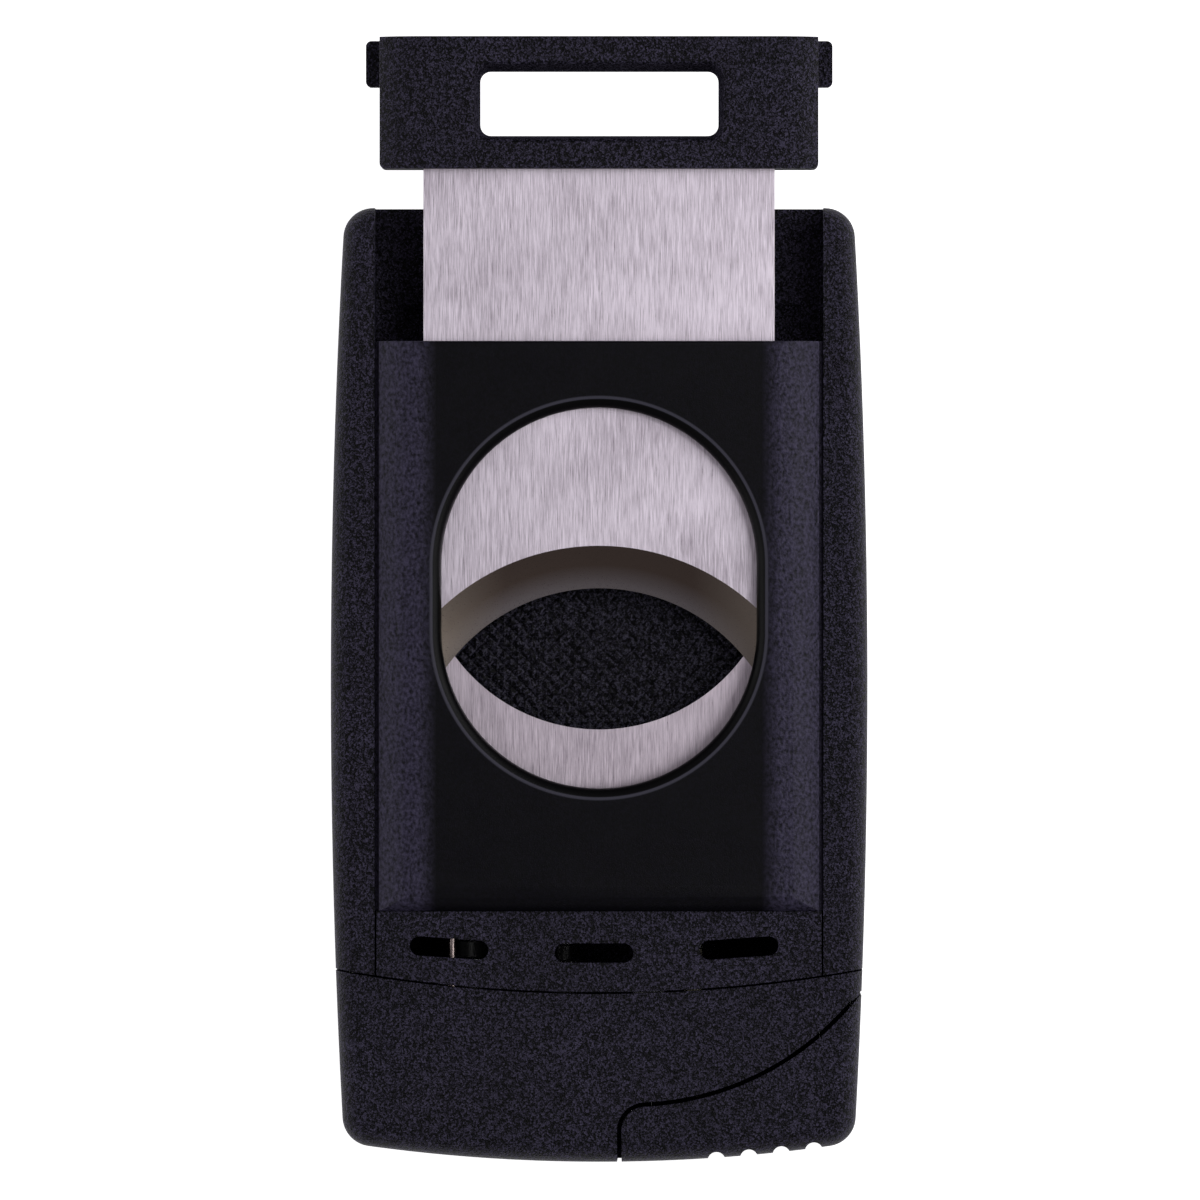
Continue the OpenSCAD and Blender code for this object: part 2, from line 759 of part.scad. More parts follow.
module stop_pad() color("#111114") {
  block([-pad_x, lower_apex_y - 8.8, tray_top], [pad_x, plate_end - 4, tray_top + pad_t]);
}

module lower_blade() color("#a0959d") {
  difference() {
    block([-blade_x, recess_end + 0.6, lower_blade_z], [blade_x, lower_tip_y, lower_blade_z + blade_t]);
    translate([0, lower_c[1], lower_blade_z - eps])
      cylinder(r = lower_edge_r, h = blade_t + 2 * eps, $fn = 96);
    translate([0, lower_c[1], lower_blade_z - eps])
      cylinder(r1 = lower_edge_r + lower_bevel_w, r2 = lower_edge_r, h = blade_t - edge_land + eps, $fn = 96);
    for (p = lower_rivet_spots) {
      translate([p[0], p[1], lower_blade_z - eps]) cylinder(r = lower_rivet_r, h = 2);
    }
  }
}

module lower_blade_rivets() color("gray") {
  for (p = lower_rivet_spots) {
    translate([p[0], p[1], floor_z]) cylinder(r = lower_rivet_r, h = lower_blade_z + blade_t - floor_z);
  }
}

module cover_plate() color("#121116") {
  difference() {
    intersection() {
      flanked_bar(plate_w / 2, plate_z, recess_end + part_gap, plate_end);
      // The end next to the vent panel rolls down
      translate([-recess_x, 0, 0]) rotate([90, 0, 90]) linear_extrude(2 * recess_x) {
        translate([recess_end + part_gap + roll_w, plate_z]) square([body_l, plate_top - plate_z - 0.3]);
        translate([recess_end + part_gap + roll_w, plate_z])
          square([plate_end - recess_end - roll_w - part_gap - 0.3, plate_top - plate_z]);
        translate([plate_end - 0.3, plate_top - 0.3]) circle(r = 0.3);
        translate([recess_end + part_gap + roll_w, plate_top - roll_r]) circle(r = roll_r, $fn = 96);
      }
    }
    for (y = [eye_low_y, eye_high_y]) {
      translate([0, y, plate_z - eps]) cylinder(r = eye_r, h = 4, $fn = 96);
      translate([0, y, plate_top - eye_rim])
        cylinder(r1 = eye_r, r2 = eye_r + eye_rim + eps, h = eye_rim + eps, $fn = 96);
    }
    block([-eye_r, eye_low_y, plate_z - eps], [eye_r, eye_high_y, plate_top + 1]);
    translate([0, eye_high_y, 0]) rotate([90, 0, 0]) linear_extrude(eye_stretch) polygon([
      [-eye_r, plate_top - eye_rim], [eye_r, plate_top - eye_rim],
      [eye_r + eye_rim + eps, plate_top + eps], [-eye_r - eye_rim - eps, plate_top + eps]
    ]);
    for (p = cover_screw_spots) {
      translate([p[0], p[1], plate_z - eps]) cylinder(r = cover_screw_r, h = 0.6);
    }
  }
}

module cover_screws() color("gray") {
  for (p = cover_screw_spots) {
    fastener(p, floor_z + 0.1, cover_screw_head_r, 0.8, cover_screw_r, plate_z + 0.4 - floor_z);
  }
}

module slide_handle() color("#1d1c23") {
  difference() {
    union() {
      flanked_bar(handle_x, handle_z, handle_y, handle_top_y);
      block([-ear_x, ear_top_y - ear_l, handle_z], [ear_x, ear_top_y, handle_z + ear_t]);
    }
    // Finger window, wider at the front
    hull() for (x = [-1, 1]) for (y = [window_y + window_r, window_y + window_h - window_r]) {
      translate([x * (window_w / 2 - window_r), y, handle_z - eps])
        cylinder(r1 = window_r - window_draft, r2 = window_r, h = plate_top - handle_z + 2 * eps, $fn = 32);
    }
    // Slot for the blade's root and its two tabs
    block([-blade_x, handle_y - eps, upper_blade_z],
      [blade_x, handle_y + blade_root, upper_blade_z + blade_t]);
    for (s = [-1, 1]) {
      block([s > 0 ? tab_x : -blade_x, handle_y + blade_root - eps, upper_blade_z],
        [s > 0 ? blade_x : -tab_x, tab_top_y, upper_blade_z + blade_t]);
      translate([s * handle_rivet[0], handle_rivet[1], handle_z - eps]) cylinder(r = handle_rivet_r, h = 5);
    }
  }
}

module upper_blade() color("#bdb4c0") {
  difference() {
    union() {
      block([-blade_x, upper_c[1], upper_blade_z], [blade_x, handle_y + blade_root, upper_blade_z + blade_t]);
      for (s = [-1, 1]) {
        block([s > 0 ? tab_x : -blade_x, handle_y + blade_root - eps, upper_blade_z],
          [s > 0 ? blade_x : -tab_x, tab_top_y, upper_blade_z + blade_t]);
      }
    }
    translate([0, upper_c[1], upper_blade_z - eps]) cylinder(r = upper_edge_r, h = blade_t, $fn = 96);
    translate([0, upper_c[1], upper_blade_z + edge_land])
      cylinder(r1 = upper_edge_r, r2 = upper_edge_r + bevel_w, h = blade_t - edge_land + eps, $fn = 96);
    for (s = [-1, 1]) {
      translate([s * handle_rivet[0], handle_rivet[1], upper_blade_z - eps])
        cylinder(r = handle_rivet_r, h = 2);
    }
  }
}

module handle_rivets() color("silver") {
  for (s = [-1, 1]) {
    fastener([s * handle_rivet[0], handle_rivet[1]], handle_z - 0.4, 1.3, 0.4, handle_rivet_r, 5.3);
  }
}

// Tank outline seen from the front, drawn in by d
module tank_area(d) {
  difference() {
    union() {
      translate([-tank_x + d, tank_shoulder_y + d])
        square([2 * tank_x - 2 * d, tank_end_y - tank_shoulder_y - d]);
      translate([tank_arm_x + d, tank_arm_y + d])
        square([tank_x - tank_arm_x - 2 * d, tank_end_y - tank_arm_y - d]);
    }
    for (s = [-1, 1]) {
      translate([s * tank_x - tank_notch - d, tank_end_y - tank_notch - d])
        square([2 * (tank_notch + d), tank_notch + 2 * d + 1]);
    }
  }
}

module fuel_tank() color("#6f747c") {
  difference() {
    slab(tank_low_z, tank_top_z) tank_area(0);
    translate([0, eps, 0]) slab(tank_low_z + tank_wall, tank_top_z - tank_wall) tank_area(tank_wall);
    rod_y(valve_x, cavity_mid, tank_arm_y - 1, tank_arm_y + 2, 1.2);
  }
}

module tank_end_cap() color("#55595f") {
  cap_x = tank_x - tank_notch - 0.2;
  difference() {
    union() {
      block([-cap_x, tank_end_y, tank_low_z], [cap_x, tank_end_y + tank_cap_t, tank_top_z]);
      block([-cap_x + tank_wall + 0.2, tank_end_y - 1, tank_low_z + tank_wall + 0.1],
        [cap_x - tank_wall - 0.2, tank_end_y + eps, tank_top_z - tank_wall - 0.1]);
    }
    rod_y(port_x, cavity_mid, tank_end_y - 2, half_l, valve_body_r);
    rod_y(adjuster_x, cavity_mid, tank_end_y - 2, half_l, adjuster_stem_r + turn_clear);
  }
}

module refill_valve() color("#b08d4a") {
  difference() {
    rod_y(port_x, cavity_mid, tank_end_y - 3, half_l - 0.05, valve_body_r);
    rod_y(port_x, cavity_mid, half_l - 0.05 - port_depth, half_l + 1, port_r);
    rod_y(port_x, cavity_mid, tank_end_y - 4, half_l, 0.55 + slide_clear);
    rod_y(port_x, cavity_mid, tank_end_y - 4, half_l - 3.4, 1.1 + slide_clear);
  }
}

module filler_seal() color("#26262a") {
  translate([port_x, tank_end_y - 1.35, cavity_mid]) rotate([90, 0, 0]) rotate_extrude()
    translate([valve_body_r + 0.3, 0]) circle(r = 0.3, $fn = 24);
}

module filler_stem() color("#c9a75e") {
  rod_y(port_x, cavity_mid, half_l - 4.6, half_l - port_depth - 0.1, 0.55);
  rod_y(port_x, cavity_mid, half_l - 4.6, half_l - 3.6, 1.1);
}

module filler_spring() color("silver") {
  coil_y(port_x, cavity_mid, tank_end_y - 3, half_l - 4.65, 0.75, 0.16, 3);
}

module flame_adjuster() color("#8d8f94") {
  difference() {
    union() {
      rod_y(adjuster_x, cavity_mid, half_l - end_wall, half_l - 0.1, adjuster_r);
      rod_y(adjuster_x, cavity_mid, tank_end_y - 3, half_l - end_wall + eps, adjuster_stem_r);
    }
    block([adjuster_x - 1.8, half_l - 0.7, cavity_mid - 0.3],
      [adjuster_x + 1.8, half_l + 1, cavity_mid + 0.3]);
    for (i = [0:23]) {
      translate([adjuster_x, 0, cavity_mid]) rotate([0, 15 * i, 0])
        translate([adjuster_r + 0.1, half_l - end_wall - 1, 0]) rotate([-90, 0, 0]) cylinder(r = 0.22, h = 3);
    }
  }
}

module gas_valve() color("#b08d4a") {
  difference() {
    union() {
      rod_y(valve_x, cavity_mid, valve_end, tank_arm_y, valve_r);
      rod_y(valve_x, cavity_mid, tank_arm_y - eps, tank_arm_y + 1.5, 1.2);
    }
    rod_y(valve_x, cavity_mid, valve_end - 1, valve_end + 4, stem_r + slide_clear);
    rod_y(valve_x, cavity_mid, valve_end, tank_arm_y + 3, 0.4);
    translate([valve_x + valve_r - tube_socket, tube_y, cavity_mid]) rotate([0, 90, 0])
      cylinder(r = tube_r, h = 2 * tube_socket);
  }
}

module valve_stem() color("#34343a") {
  rod_y(valve_x, cavity_mid, press_y, valve_end + 1, stem_r);
  rod_y(valve_x, cavity_mid, press_y, press_y + 0.6, 1.5);
}

module valve_spring() color("silver") {
  coil_y(valve_x, cavity_mid, press_y + 0.65, valve_end - 0.05, 1.25, 0.2, 5);
}

module gas_tube() color("#c8c4b4") {
  translate([valve_x + valve_r - tube_socket, tube_y, cavity_mid]) rotate([0, 90, 0])
    cylinder(r = tube_r, h = tube_x - valve_x - valve_r + tube_socket);
  translate([tube_x, tube_y, cavity_mid]) sphere(r = tube_r + bend_swell);
  rod_y(tube_x, cavity_mid, burner_top_y, tube_y, tube_r);
}

module burner_block() color("#2c2b2e") {
  difference() {
    block([burner_x - burner_w / 2, burner_top_y - burner_l, chassis_top],
      [burner_x + burner_w / 2, burner_top_y, chassis_top + burner_h]);
    for (x = jet_spots) {
      rod_y(x, jet_z, burner_top_y - burner_l - 1, burner_top_y - burner_l + 2.5, jet_r - 0.3);
    }
  }
}

module jet_nozzles() color("#caa659") {
  for (x = jet_spots) {
    difference() {
      union() {
        rod_y(x, jet_z, burner_top_y - burner_l - jet_l, burner_top_y - burner_l, jet_r);
        rod_y(x, jet_z, burner_top_y - burner_l - eps, burner_top_y - burner_l + 2, jet_r - 0.3);
      }
      rod_y(x, jet_z, burner_top_y - burner_l - jet_l - 1, burner_top_y - burner_l + 1, 0.55);
    }
  }
}

module jet_guard() color("#3a3a3e") {
  difference() {
    block([burner_x - burner_w / 2, guard_y - guard_t, chassis_top + 0.2],
      [burner_x + burner_w / 2, guard_y, chassis_top + burner_h + guard_t]);
    for (x = jet_spots) {
      rod_y(x, jet_z, guard_y - 1, guard_y + 1, jet_r - 0.1);
    }
  }
  block([burner_x - burner_w / 2, guard_y - eps, chassis_top + burner_h],
    [burner_x + burner_w / 2, burner_top_y - 3, chassis_top + burner_h + guard_t]);
}

module igniter_body() color("#2b2b30") {
  difference() {
    rod_y(igniter_x, cavity_mid, igniter_end, igniter_end + igniter_l, igniter_r);
    rod_y(igniter_x, cavity_mid, igniter_end - 1, igniter_end + plunger_travel + 3, plunger_r + slide_clear);
  }
}

module igniter_plunger() color("#2a2a2e") {
  rod_y(igniter_x, cavity_mid, press_y, igniter_end + 2, plunger_r);
  rod_y(igniter_x, cavity_mid, press_y, press_y + plunger_head_t, plunger_head_r);
}

module igniter_spring() color("silver") {
  coil_y(igniter_x, cavity_mid, press_y + plunger_head_t + part_gap, igniter_end - part_gap,
    coil_r, coil_wire_r, 5);
}

// Straight runs with round bends
module ignition_wire() color("#c9a27c") {
  for (i = [0:len(wire_points) - 2]) {
    strut(wire_points[i], wire_points[i + 1], wire_r);
  }
  for (i = [1:len(wire_points) - 2]) {
    translate(wire_points[i]) sphere(r = wire_r + bend_swell, $fn = 24);
  }
}

// A straight rod between two points
module strut(a, b, r) {
  v = b - a;
  translate(a) rotate([0, acos(v[2] / norm(v)), atan2(v[1], v[0])]) cylinder(r = r, h = norm(v), $fn = 24);
}

module ignition_rocker() color("silver") {
  arm_y0 = rocker[1] - rocker_arm_down;
  arm_y1 = rocker[1] + rocker_arm_up;
  difference() {
    union() {
      slab(rocker_z, rocker_z + bracket_t) {
        translate(rocker) circle(r = 1.8);
        translate([igniter_x - tab_w / 2, arm_y0])
          square([rocker_right - igniter_x + tab_w / 2, arm_y1 - arm_y0]);
      }
      // Tabs bent down to the igniter's plunger and the valve's stem
      block([igniter_x - tab_w / 2, arm_y1 - 1, cavity_mid - 1.2],
        [igniter_x + tab_w / 2, arm_y1, rocker_z + eps]);
      block([valve_x - valve_tab_w / 2, arm_y1 - 1, cavity_mid - 1.2],
        [valve_x + valve_tab_w / 2, arm_y1, rocker_z + eps]);
    }
    translate([rocker[0], rocker[1], 0]) cylinder(r = rocker_pin_r + turn_clear, h = body_t);
  }
}

module rocker_pin() color("gray") {
  translate([rocker[0], rocker[1], rear_t])
    cylinder(r = rocker_pin_r, h = rocker_z + bracket_t + 0.5 - rear_t);
  translate([rocker[0], rocker[1], chassis_top]) cylinder(r = 1.4, h = rocker_z - part_gap - chassis_top);
  translate([rocker[0], rocker[1], rocker_z + bracket_t + part_gap]) cylinder(r = 1.3, h = 0.5);
}

main_body();
left_rail();
right_rail();
rear_cover();
rear_screws();
hood();
hood_screws();
hinge_pin();
flap_spring();
flip_cap();
cap_bracket();
cap_rivets();
cutter_bed();
stop_pad();
lower_blade();
lower_blade_rivets();
cover_plate();
cover_screws();
slide_handle();
upper_blade();
handle_rivets();
fuel_tank();
tank_end_cap();
refill_valve();
filler_seal();
filler_stem();
filler_spring();
flame_adjuster();
gas_valve();
valve_stem();
valve_spring();
gas_tube();
burner_block();
jet_nozzles();
jet_guard();
igniter_body();
igniter_plunger();
igniter_spring();
ignition_wire();
ignition_rocker();
rocker_pin();
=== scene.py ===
import json
import logging
import math
from dataclasses import dataclass
from enum import Enum

import bmesh
import bpy
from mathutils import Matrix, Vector


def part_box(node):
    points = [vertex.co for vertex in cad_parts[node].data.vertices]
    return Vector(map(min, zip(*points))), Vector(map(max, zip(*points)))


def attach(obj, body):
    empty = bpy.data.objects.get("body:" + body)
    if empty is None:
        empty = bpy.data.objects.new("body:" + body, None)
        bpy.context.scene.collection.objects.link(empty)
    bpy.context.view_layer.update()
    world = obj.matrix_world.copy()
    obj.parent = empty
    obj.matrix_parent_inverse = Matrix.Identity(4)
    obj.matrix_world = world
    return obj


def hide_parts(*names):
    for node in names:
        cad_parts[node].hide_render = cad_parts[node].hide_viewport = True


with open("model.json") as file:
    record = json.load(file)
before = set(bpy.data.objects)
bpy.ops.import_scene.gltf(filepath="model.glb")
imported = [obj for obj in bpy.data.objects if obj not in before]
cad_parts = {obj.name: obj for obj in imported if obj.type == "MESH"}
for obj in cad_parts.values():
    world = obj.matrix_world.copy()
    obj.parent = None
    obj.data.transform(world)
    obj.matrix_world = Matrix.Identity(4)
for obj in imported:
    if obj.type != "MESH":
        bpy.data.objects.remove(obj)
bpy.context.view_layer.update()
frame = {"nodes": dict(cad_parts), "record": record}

LOG = logging.getLogger("torch_lighter")
MM = 0.001
Point = tuple[float, float]
Ring = tuple[list[Point], float]
Solid = bpy.types.Object
Material = bpy.types.Material
Socket = bpy.types.NodeSocket
OVERSHOOT = 1.0
GRAIN_MAP = "brushing"
NOISE_RANGE = (0.3, 0.7)
SLOT_OF: dict[str, str] = {part["node"]: part["material_slot"] for part in frame["record"]["subparts"]}


# --- geometry helpers


class Axis(Enum):
    """The way that a straight extrusion runs."""

    Y = "y"
    X = "x"
    Z = "z"


def node_mm(name: str) -> tuple[Vector, Vector]:
    """Corners of a CAD node.

    Args:
        name: the node's name.

    Returns:
        Its lowest and highest corners, in millimetres.
    """
    low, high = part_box(name)
    return low / MM, high / MM


def arc(centre: Point, radius: float, start: float, end: float, steps: int) -> list[Point]:
    """Points along an arc, ends included.

    Args:
        centre: the arc's centre.
        radius: its radius.
        start: angle of the first point, in degrees.
        end: angle of the last point, in degrees.
        steps: number of segments.

    Returns:
        The points, in order.
    """
    angles = [math.radians(start + (end - start) * i / steps) for i in range(steps + 1)]
    return [(centre[0] + radius * math.cos(a), centre[1] + radius * math.sin(a)) for a in angles]


def rectangle(x0: float, y0: float, x1: float, y1: float) -> list[Point]:
    """Corners of an upright rectangle, anticlockwise."""
    return [(x0, y0), (x1, y0), (x1, y1), (x0, y1)]


def rounded_rectangle(low: Point, high: Point, radius: float, steps: int = 8) -> list[Point]:
    """Outline of a rectangle with round corners.

    Args:
        low: its lowest corner.
        high: its highest corner.
        radius: the corners' radius.
        steps: segments in each corner.

    Returns:
        The outline, anticlockwise.
    """
    corners = (
        ((high[0] - radius, low[1] + radius), -90.0),
        ((high[0] - radius, high[1] - radius), 0.0),
        ((low[0] + radius, high[1] - radius), 90.0),
        ((low[0] + radius, low[1] + radius), 180.0),
    )
    return [p for centre, start in corners for p in arc(centre, radius, start, start + 90, steps)]


def stadium(radius: float, low_y: float, high_y: float, steps: int = 48) -> list[Point]:
    """Outline of an upright stadium centred on the middle line, anticlockwise."""
    return arc((0, high_y), radius, 0, 180, steps) + arc((0, low_y), radius, 180, 360, steps)


def new_object(name: str, data: bpy.types.ID) -> Solid:
    """Links a mesh, a light or a camera into the scene as an object of that name."""
    made = bpy.data.objects.new(name, data)
    bpy.context.scene.collection.objects.link(made)
    return made


def loft(name: str, rings: list[Ring]) -> Solid:
    """A closed solid through rings of points stacked along Z.

    Args:
        name: the object's name.
        rings: outlines of equal length, each with its height, in millimetres, from the bottom up.

    Returns:
        The solid.
    """
    count = len(rings[0][0])
    points = [(x * MM, y * MM, z * MM) for outline, z in rings for x, y in outline]
    faces = [list(reversed(range(count))), [(len(rings) - 1) * count + i for i in range(count)]]
    for k in range(len(rings) - 1):
        for i in range(count):
            a, b = k * count + i, k * count + (i + 1) % count
            faces.append([a, b, b + count, a + count])
    mesh = bpy.data.meshes.new(name)
    mesh.from_pydata(points, [], faces)
    mesh.validate()
    made = new_object(name, mesh)
    tidy_normals(made)
    return made


def prism(name: str, outline: list[Point], start: float, end: float, along: Axis = Axis.Z) -> Solid:
    """A straight extrusion of an outline.

    Args:
        name: the object's name.
        outline: its points, in X and Y for Z, in X and Z for Y, and in Y and Z for X.
        start: where it starts along the axis, in millimetres.
        end: where it ends.
        along: the axis.

    Returns:
        The solid.
    """
    made = loft(name, [(outline, start), (outline, end)])
    for v in made.data.vertices:
        x, y, z = v.co
        if along is Axis.Y:
            v.co = (x, z, y)
        elif along is Axis.X:
            v.co = (z, x, y)
    tidy_normals(made)
    return made


def box(name: str, low: tuple[float, float, float], high: tuple[float, float, float]) -> Solid:
    """A box between two corners, in millimetres."""
    return prism(name, rectangle(low[0], low[1], high[0], high[1]), low[2], high[2])


def rod(name: str, centre: Point, radius: float, start: float, end: float, along: Axis = Axis.Z,
        steps: int = 48) -> Solid:
    """A round rod along an axis, in millimetres."""
    return prism(name, arc(centre, radius, 0, 360 - 360 / steps, steps - 1), start, end, along)


def tidy_normals(piece: Solid) -> None:
    """Turns every face outwards and merges doubled points."""
    work = bmesh.new()
    work.from_mesh(piece.data)
    bmesh.ops.remove_doubles(work, verts=work.verts, dist=1e-7)
    bmesh.ops.recalc_face_normals(work, faces=work.faces)
    work.to_mesh(piece.data)
    work.free()


def bake_modifiers(piece: Solid) -> None:
    """Makes a piece's modifiers part of its mesh."""
    graph = bpy.context.evaluated_depsgraph_get()
    mesh = bpy.data.meshes.new_from_object(piece.evaluated_get(graph))
    piece.modifiers.clear()
    piece.data = mesh


class Operation(Enum):
    """What a boolean does."""

    CUT = "DIFFERENCE"
    MEET = "INTERSECT"
    JOIN = "UNION"


def combine(target: Solid, operation: Operation, *tools: Solid) -> Solid:
    """Applies solids to a target, one after the other, and deletes them.

    Args:
        target: the solid to change.
        operation: what the tools do to it.
        tools: the solids to apply.

    Returns:
        The changed target.
    """
    for tool in tools:
        modifier = target.modifiers.new("combine", "BOOLEAN")
        modifier.operation = operation.value
        modifier.object = tool
        modifier.solver = "EXACT"
        bake_modifiers(target)
        bpy.data.objects.remove(tool)
    return target


def soften(piece: Solid, width: float = 0.12, segments: int = 2, sharp_angle: float = 32.0) -> None:
    """Breaks a piece's sharp edges and smooths the rest.

    Args:
        piece: the piece.
        width: how far the broken edge reaches, in millimetres; 0 leaves edges sharp.
        segments: number of segments across it.
        sharp_angle: edges bent more than this many degrees are broken.
    """
    if width > 0:
        bevel = piece.modifiers.new("edge_break", "BEVEL")
        bevel.width = width * MM
        bevel.segments = segments
        bevel.limit_method = "ANGLE"
        bevel.angle_limit = math.radians(sharp_angle)
        bevel.use_clamp_overlap = True
        bake_modifiers(piece)
    work = bmesh.new()
    work.from_mesh(piece.data)
    bmesh.ops.dissolve_degenerate(work, dist=1e-7, edges=work.edges)
    for face in work.faces:
        face.smooth = True
    for edge in work.edges:
        edge.smooth = edge.is_manifold and edge.calc_face_angle(0) < math.radians(sharp_angle)
    work.to_mesh(piece.data)
    work.free()
    weighted = piece.modifiers.new("flat_faces_stay_flat", "WEIGHTED_NORMAL")
    weighted.keep_sharp = True


# --- finishes


def linear(hex_colour: str) -> tuple[float, float, float, float]:
    """Turns an sRGB hex colour into linear RGBA."""
    channels = [int(hex_colour[i:i + 2], 16) / 255 for i in (1, 3, 5)]
    return (*[c / 12.92 if c <= 0.04045 else ((c + 0.055) / 1.055) ** 2.4 for c in channels], 1.0)


def add_node(tree: bpy.types.NodeTree, kind: str, settings: dict | None = None,
             inputs: dict | None = None) -> bpy.types.Node:
    """Adds one node with its settings, values and links.

    Args:
        tree: the node tree.
        kind: the node's type name, without its ShaderNode prefix.
        settings: attributes to set on the node.
        inputs: values, or output sockets to link, by input name or number.

    Returns:
        The node.
    """
    node = tree.nodes.new("ShaderNode" + kind)
    for name, value in (settings or {}).items():
        setattr(node, name, value)
    for name, value in (inputs or {}).items():
        if isinstance(value, bpy.types.NodeSocket):
            tree.links.new(value, node.inputs[name])
        else:
            node.inputs[name].default_value = value
    return node


class Pattern:
    """A new material, with the nodes of its pattern."""

    def __init__(self, name: str) -> None:
        """Makes the material and finds its shader and the object's coordinates."""
        self.material = bpy.data.materials.new(name)
        self.material.use_nodes = True
        self.tree = self.material.node_tree
        self.shader = self.tree.nodes["Principled BSDF"]
        self.where: Socket = self.add("TexCoord").outputs["Object"]

    def add(self, kind: str, settings: dict | None = None, inputs: dict | None = None) -> bpy.types.Node:
        """Adds one node to the pattern."""
        return add_node(self.tree, kind, settings, inputs)

    def feed(self, **values: Socket | float) -> None:
        """Links or sets the shader's inputs, named with _ for a space."""
        for name, value in values.items():
            socket = self.shader.inputs[name.replace("_", " ")]
            if isinstance(value, bpy.types.NodeSocket):
                self.tree.links.new(value, socket)
            else:
                socket.default_value = value

    def maths(self, operation: str, *values: Socket | float) -> Socket:
        """One arithmetic step."""
        return self.add("Math", {"operation": operation}, dict(enumerate(values))).outputs[0]

    def axis(self, name: str) -> Socket:
        """One coordinate of the point."""
        return self.add("SeparateXYZ", inputs={0: self.where}).outputs[name]

    def away(self, name: str) -> Socket:
        """How far the point is from the middle along an axis."""
        return self.maths("ABSOLUTE", self.axis(name))

    def stretched(self, vector: Socket, scale: tuple[float, float, float]) -> Socket:
        """A vector scaled by a factor along each axis."""
        return self.add("Mapping", inputs={"Vector": vector, "Scale": scale}).outputs["Vector"]

    def length(self, vector: Socket) -> Socket:
        """A vector's length."""
        return self.add("VectorMath", {"operation": "LENGTH"}, {0: vector}).outputs["Value"]

    def ramp(self, value: Socket, low: str, high: str, start: float = 0.0, end: float = 1.0) -> Socket:
        """A blend between two sRGB hex colours as a value goes from start to end."""
        node = self.add("ValToRGB", inputs={"Fac": value})
        for stop, place, colour in zip(node.color_ramp.elements, (start, end), (low, high)):
            stop.position, stop.color = place, linear(colour)
        return node.outputs["Color"]

    def span(self, value: Socket, low: float, high: float, start: float = 0.0, end: float = 1.0) -> Socket:
        """A value mapped from start..end to low..high, clamped."""
        return self.add("MapRange", inputs={
            "Value": value, "From Min": start, "From Max": end,
            "To Min": low, "To Max": high}).outputs["Result"]

    def noise(self, size: float, detail: float = 3.0, roughness: float = 0.55,
              vector: Socket | None = None) -> Socket:
        """Noise whose lumps are about size millimetres across."""
        return self.add("TexNoise", inputs={
            "Vector": self.where if vector is None else vector, "Scale": 1 / (size * MM),
            "Detail": detail, "Roughness": roughness}).outputs["Fac"]

    def mix(self, factor: Socket | float, one: Socket, other: Socket | tuple, blend: str = "MIX") -> Socket:
        """A blend from one colour to another."""
        return self.add("Mix", {"data_type": "RGBA", "blend_type": blend}, {
            "Factor": factor, 6: one, 7: other}).outputs[2]

    def bump(self, height: Socket, distance: float, strength: float) -> Socket:
        """A normal that follows a height, distance millimetres deep."""
        return self.add("Bump", inputs={
            "Height": height, "Distance": distance * MM, "Strength": strength}).outputs["Normal"]


@dataclass(frozen=True)
class PowderCoat:
    """Epoxy powder coat on cast zinc: fused grains leave a fine even roughness."""

    name: str = "black_powder_coat"
    low: str = "#010102"
    high: str = "#454156"
    grain: float = 0.14
    speck: float = 0.09
    roughness: float = 0.48
    specular: float = 0.1
    depth: float = 0.09

    def build(self) -> Material:
        """Makes the material."""
        p = Pattern(self.name)
        grains = p.add("TexVoronoi", inputs={"Vector": p.where, "Scale": 1 / (self.grain * MM)}).outputs
        shade = p.add("RGBToBW", inputs={0: grains["Color"]}).outputs["Val"]
        fine = p.noise(self.speck, 3.0, 0.6)
        speckle = p.ramp(p.maths("MULTIPLY_ADD", shade, 0.5, fine), self.low, self.high, 0.7, 1.0)
        wear = p.ramp(p.noise(9.0, 2.0), "#b4b4b4", "#ffffff", *NOISE_RANGE)
        p.feed(Base_Color=p.mix(0.4, speckle, wear, "MULTIPLY"),
               Roughness=p.span(shade, self.roughness - 0.1, self.roughness + 0.1),
               Normal=p.bump(p.maths("MULTIPLY_ADD", fine, 0.6, grains["Distance"]), self.depth, 0.8),
               Specular_IOR_Level=self.specular)
        return p.material


@dataclass(frozen=True)
class EyeForm:
    """The cutter's eye: two half circles joined by short straights, in mm."""

    middle: float
    radius: float = 12.6
    rim: float = 0.9
    half_straight: float = 2.63

    @classmethod
    def in_plate(cls) -> "EyeForm":
        """Finds the eye's middle from the cover plate's own length."""
        low, high = node_mm("cover_plate")
        rise = 2.23
        return cls((low.y + high.y) / 2 + rise)


